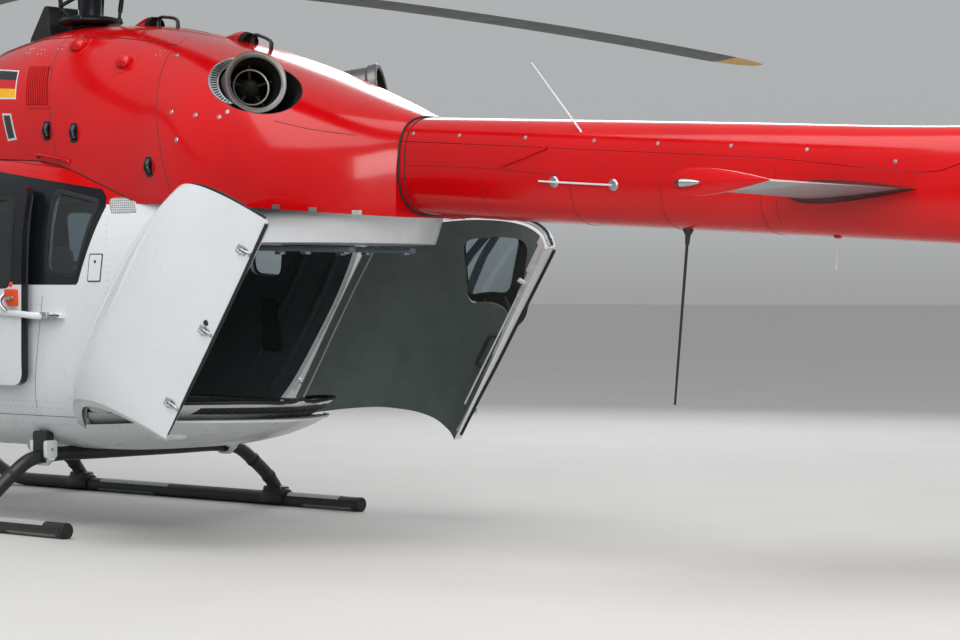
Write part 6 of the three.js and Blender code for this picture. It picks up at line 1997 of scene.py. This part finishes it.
def cockpitFittings():
    # screens stand on the hood's rear face, which leans from (2470, 1060) to (2420, 1360)
    lean = np.array([-50.0, 0, 300.0]) / np.linalg.norm([50, 300])
    back = np.array([-lean[2], 0, lean[0]])
    basis = np.stack([np.array([0, 1.0, 0]), lean, back], 1)
    bezels, faces, keys = [], [], []
    for y, half in cockpit["screens"]:
        at = np.array([2440.0, y, 1226]) + back * 8
        bezels.append(softBlock(at, (half, 112, 12), 0.12, basis, 8, 32))
        faces.append(softBlock(at + back * 9, (half - 16, 94, 5), 0.1, basis, 6, 28))
        for dy in np.linspace(-70, 70, 7):
            for dz in (-104, 104):
                keys.append(softBlock(at + np.array([0, dy, 0]) + lean * dz + back * 13, (7, 5, 3), 0.4,
                                      basis, 5, 10))
    addOn("panel_bezels", bezels, moulding)
    addOn("panel_screens", faces, screenGlass)
    addOn("panel_keys", keys, castAlloy, slot="black_paint")
    knobs, boxes = [], []
    for row in range(5):
        x = 2060 + row * 88
        z = 962 + (x - 1990) * 0.085
        boxes.append(softBlock((x, 0, z + 3), (38, 96, 6), 0.14, rows=6, columns=20))
        for y in (-64, -32, 0, 32, 64):
            knobs.append(turned([[0, 0], [9, 0], [9, 8], [7, 14], [0, 14]],
                                (x + (12 if row % 2 else -8), y, z + 8), (0, 0, 1), 14))
    addOn("console_boxes", boxes, enamel)
    addOn("console_knobs", knobs, moulding)
    for side, sign in sides:
        y = sign * cockpit["seat"]
        stick = [tube(curveThrough([[2120, y, 722], [2110, y, 860], [2060, y, 1000], [2010, y, 1120]], 24),
                      [15] * 12 + [12] * 12, 14),
                 tube(curveThrough([[2012, y, 1112], [2000, y, 1160], [2010, y, 1210], [2022, y, 1232]], 16),
                      [17] * 4 + [22] * 8 + [24] * 4, 14),
                 turned([[0, 0], [60, 0], [52, 24], [24, 44], [0, 46]], (2122, y, 722), (0, 0, 1), 24)]
        addOn(f"cyclic_stick_{side}", stick, moulding)
        lever = [rod((1560, y - sign * 262, 800), (1840, y - sign * 262, 975), 13, 14),
                 rod((1830, y - sign * 262, 969), (1920, y - sign * 262, 1025), 20, 14)]
        addOn(f"collective_lever_{side}", lever, moulding)
        pedals = [softBlock((2400, y + dy, 860), (12, 46, 62), 0.3) for dy in (-95, 95)]
        pedals += [rod((2412, y + dy, 850), (2440, y + dy, 735), 11, 12) for dy in (-95, 95)]
        addOn(f"pedals_{side}", pedals, castAlloy)
        straps = []
        for dy in (-70, 70):
            path = curveThrough([[1290, y + dy * 0.8, 1650], [1392, y + dy, 1706], [1448, y + dy, 1600],
                                 [1500, y + dy, 1380], [1590, y + dy * 0.9, 1180]], 40)
            straps.append(tube(path, 22, 10, 0.12, up=(0, 1, 0)))
        for dy in (-1, 1):
            path = curveThrough([[1500, y + dy * 226, 1050], [1520, y + dy * 190, 1100],
                                 [1580, y + dy * 100, 1150], [1600, y + dy * 20, 1166]], 24)
            straps.append(tube(path, 22, 10, 0.12, up=(1, 0, 0.4)))
        addOn(f"harness_{side}", straps, orangeWebbing)
        addOn(f"harness_buckle_{side}",
              turned([[0, 0], [30, 0], [34, 5], [30, 14], [0, 17]], (1597, y, 1166), (0.8, 0, 0.5),
                     24), aluminium)
        rest = softBlock((1330, y, 1790), (44, 120, 84), 0.55, [[0.97, 0, 0.2], [0, 1, 0], [-0.2, 0, 0.97]],
                         16, 32)
        addOn(f"head_rest_{side}", rest, fabric)
        posts = [rod((1322, y + dy, 1660), (1334, y + dy, 1730), 8, 10) for dy in (-60, 60)]
        addOn(f"head_rest_posts_{side}", posts, aluminium)


padding = {"voxel": 6, "pressure": 4.0, "frames": 20, "travel": 25, "settle": 12}
seatOutlines = {"cushion": [[1925, 990.2], [1925, 1080], [1500, 1050], [1503, 950.9]],
                "back": [[1460, 1081], [1560, 1090], [1385, 1700], [1275, 1690], [1290.7, 1620]]}


def voxelled(mesh, size):
    piece = bpy.data.objects.new("voxelled", mesh)
    bpy.context.scene.collection.objects.link(piece)
    remesh = piece.modifiers.new("remesh", "REMESH")
    remesh.mode, remesh.voxel_size = "VOXEL", size * 0.001
    result = bpy.data.meshes.new_from_object(piece.evaluated_get(bpy.context.evaluated_depsgraph_get()))
    bpy.data.objects.remove(piece)
    return result


def puffed(mesh):
    # cloth under inner pressure for a few frames; how far a point may move is capped
    piece = bpy.data.objects.new("puffed", mesh)
    bpy.context.scene.collection.objects.link(piece)
    before = pointsOf(mesh)
    cloth = piece.modifiers.new("cloth", "CLOTH")
    settings = cloth.settings
    settings.use_pressure, settings.uniform_pressure_force = True, padding["pressure"]
    settings.effector_weights.gravity = 0
    settings.quality = 6
    cloth.point_cache.frame_start, cloth.point_cache.frame_end = 1, padding["frames"]
    for step in range(1, padding["frames"] + 1):
        bpy.context.scene.frame_set(step)
    after = pointsOf(piece.evaluated_get(bpy.context.evaluated_depsgraph_get()).data)
    bpy.context.scene.frame_set(1)
    bpy.data.objects.remove(piece)
    move = after - before
    length = np.linalg.norm(move, axis=1, keepdims=True)
    limit = padding["travel"] * 0.001
    mesh.vertices.foreach_set("co", (before + move * np.minimum(1, limit / np.maximum(length, 1e-9))).ravel())
    mesh.update()


def pointsOf(mesh):
    points = np.zeros(len(mesh.vertices) * 3)
    mesh.vertices.foreach_get("co", points)
    return points.reshape(-1, 3)


def seats():
    # each padded piece starts smaller than its CAD solid, is blown up as cloth, and gets sewn channels
    for part, outline in seatOutlines.items():
        y = cockpit["seat"]
        inset = padding["settle"]
        mesh = bareMesh(part, sidePrism(outline, y - 225 + inset, y + 225 - inset, 22, -inset))
        mesh = voxelled(mesh, padding["voxel"])
        puffed(mesh)
        points = pointsOf(mesh) * 1000 - (rotorX, 0, 0)
        along = points[:, 0] if part == "cushion" else points[:, 2]
        lines = (1620, 1740, 1850) if part == "cushion" else (1200, 1330, 1460, 1590)
        depth = sum(np.exp(-((along - line) / 9) ** 2)
                    for line in lines) + np.exp(-((np.abs(points[:, 1] - y) - 150) / 9) ** 2)
        normals = np.zeros(len(mesh.vertices) * 3)
        mesh.vertices.foreach_get("normal", normals)
        points -= normals.reshape(-1, 3) * np.minimum(depth, 1)[:, None] * 9
        mesh.vertices.foreach_set("co", metres(points).ravel())
        mesh.update()
        low, high = np.array(points).min(0), np.array(points).max(0)
        for side, sign in sides:
            own = mesh.copy()
            if sign < 0:
                own.transform(Matrix.Translation((0, -2 * y * 0.001, 0)))
            piece = makePiece(f"seat_{part}_padding_{side}", own, fabric, replaces=f"seat_{part}_{side}",
                              angle=180)
            smooth = piece.modifiers.new("rounding", "SMOOTH")
            smooth.iterations = 2
            piping = evenOutline(roundedOutline(outline, 26, grow=-3), 120)
            piping = np.vstack([piping, piping[:1]])
            cords = [tube(xyz(piping[:, 0], sign * y + dy, piping[:, 1]), 4.5, 8) for dy in (-214, 214)]
            addOn(f"seat_{part}_piping_{side}", cords, moulding, slot="seat_fabric")
        print("padded", part, len(mesh.polygons), "faces", low.round(), high.round())


windowSeals()
clamshellFittings()
hinges()
cowlSkinFittings()
podSkinFittings()
slidingDoorFittings()
exhaustFittings()
boomFittings()
stabiliserFittings()
sill()
stripFittings()
bellyFittings()
gearFittings()
headFittings()
interior()
cockpitFittings()
seats()

carriedOver = {"floor": floorStuds, "engine_left": castAlloy, "engine_right": castAlloy, "gearbox": castAlloy,
               "seat_frame_left": moulding,
               "seat_frame_right": moulding, "instrument_panel": moulding, "centre_console": moulding}
for name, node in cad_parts.items():
    if not node.hide_render:
        node.data.materials.clear()
        node.data.materials.append(carriedOver[name])
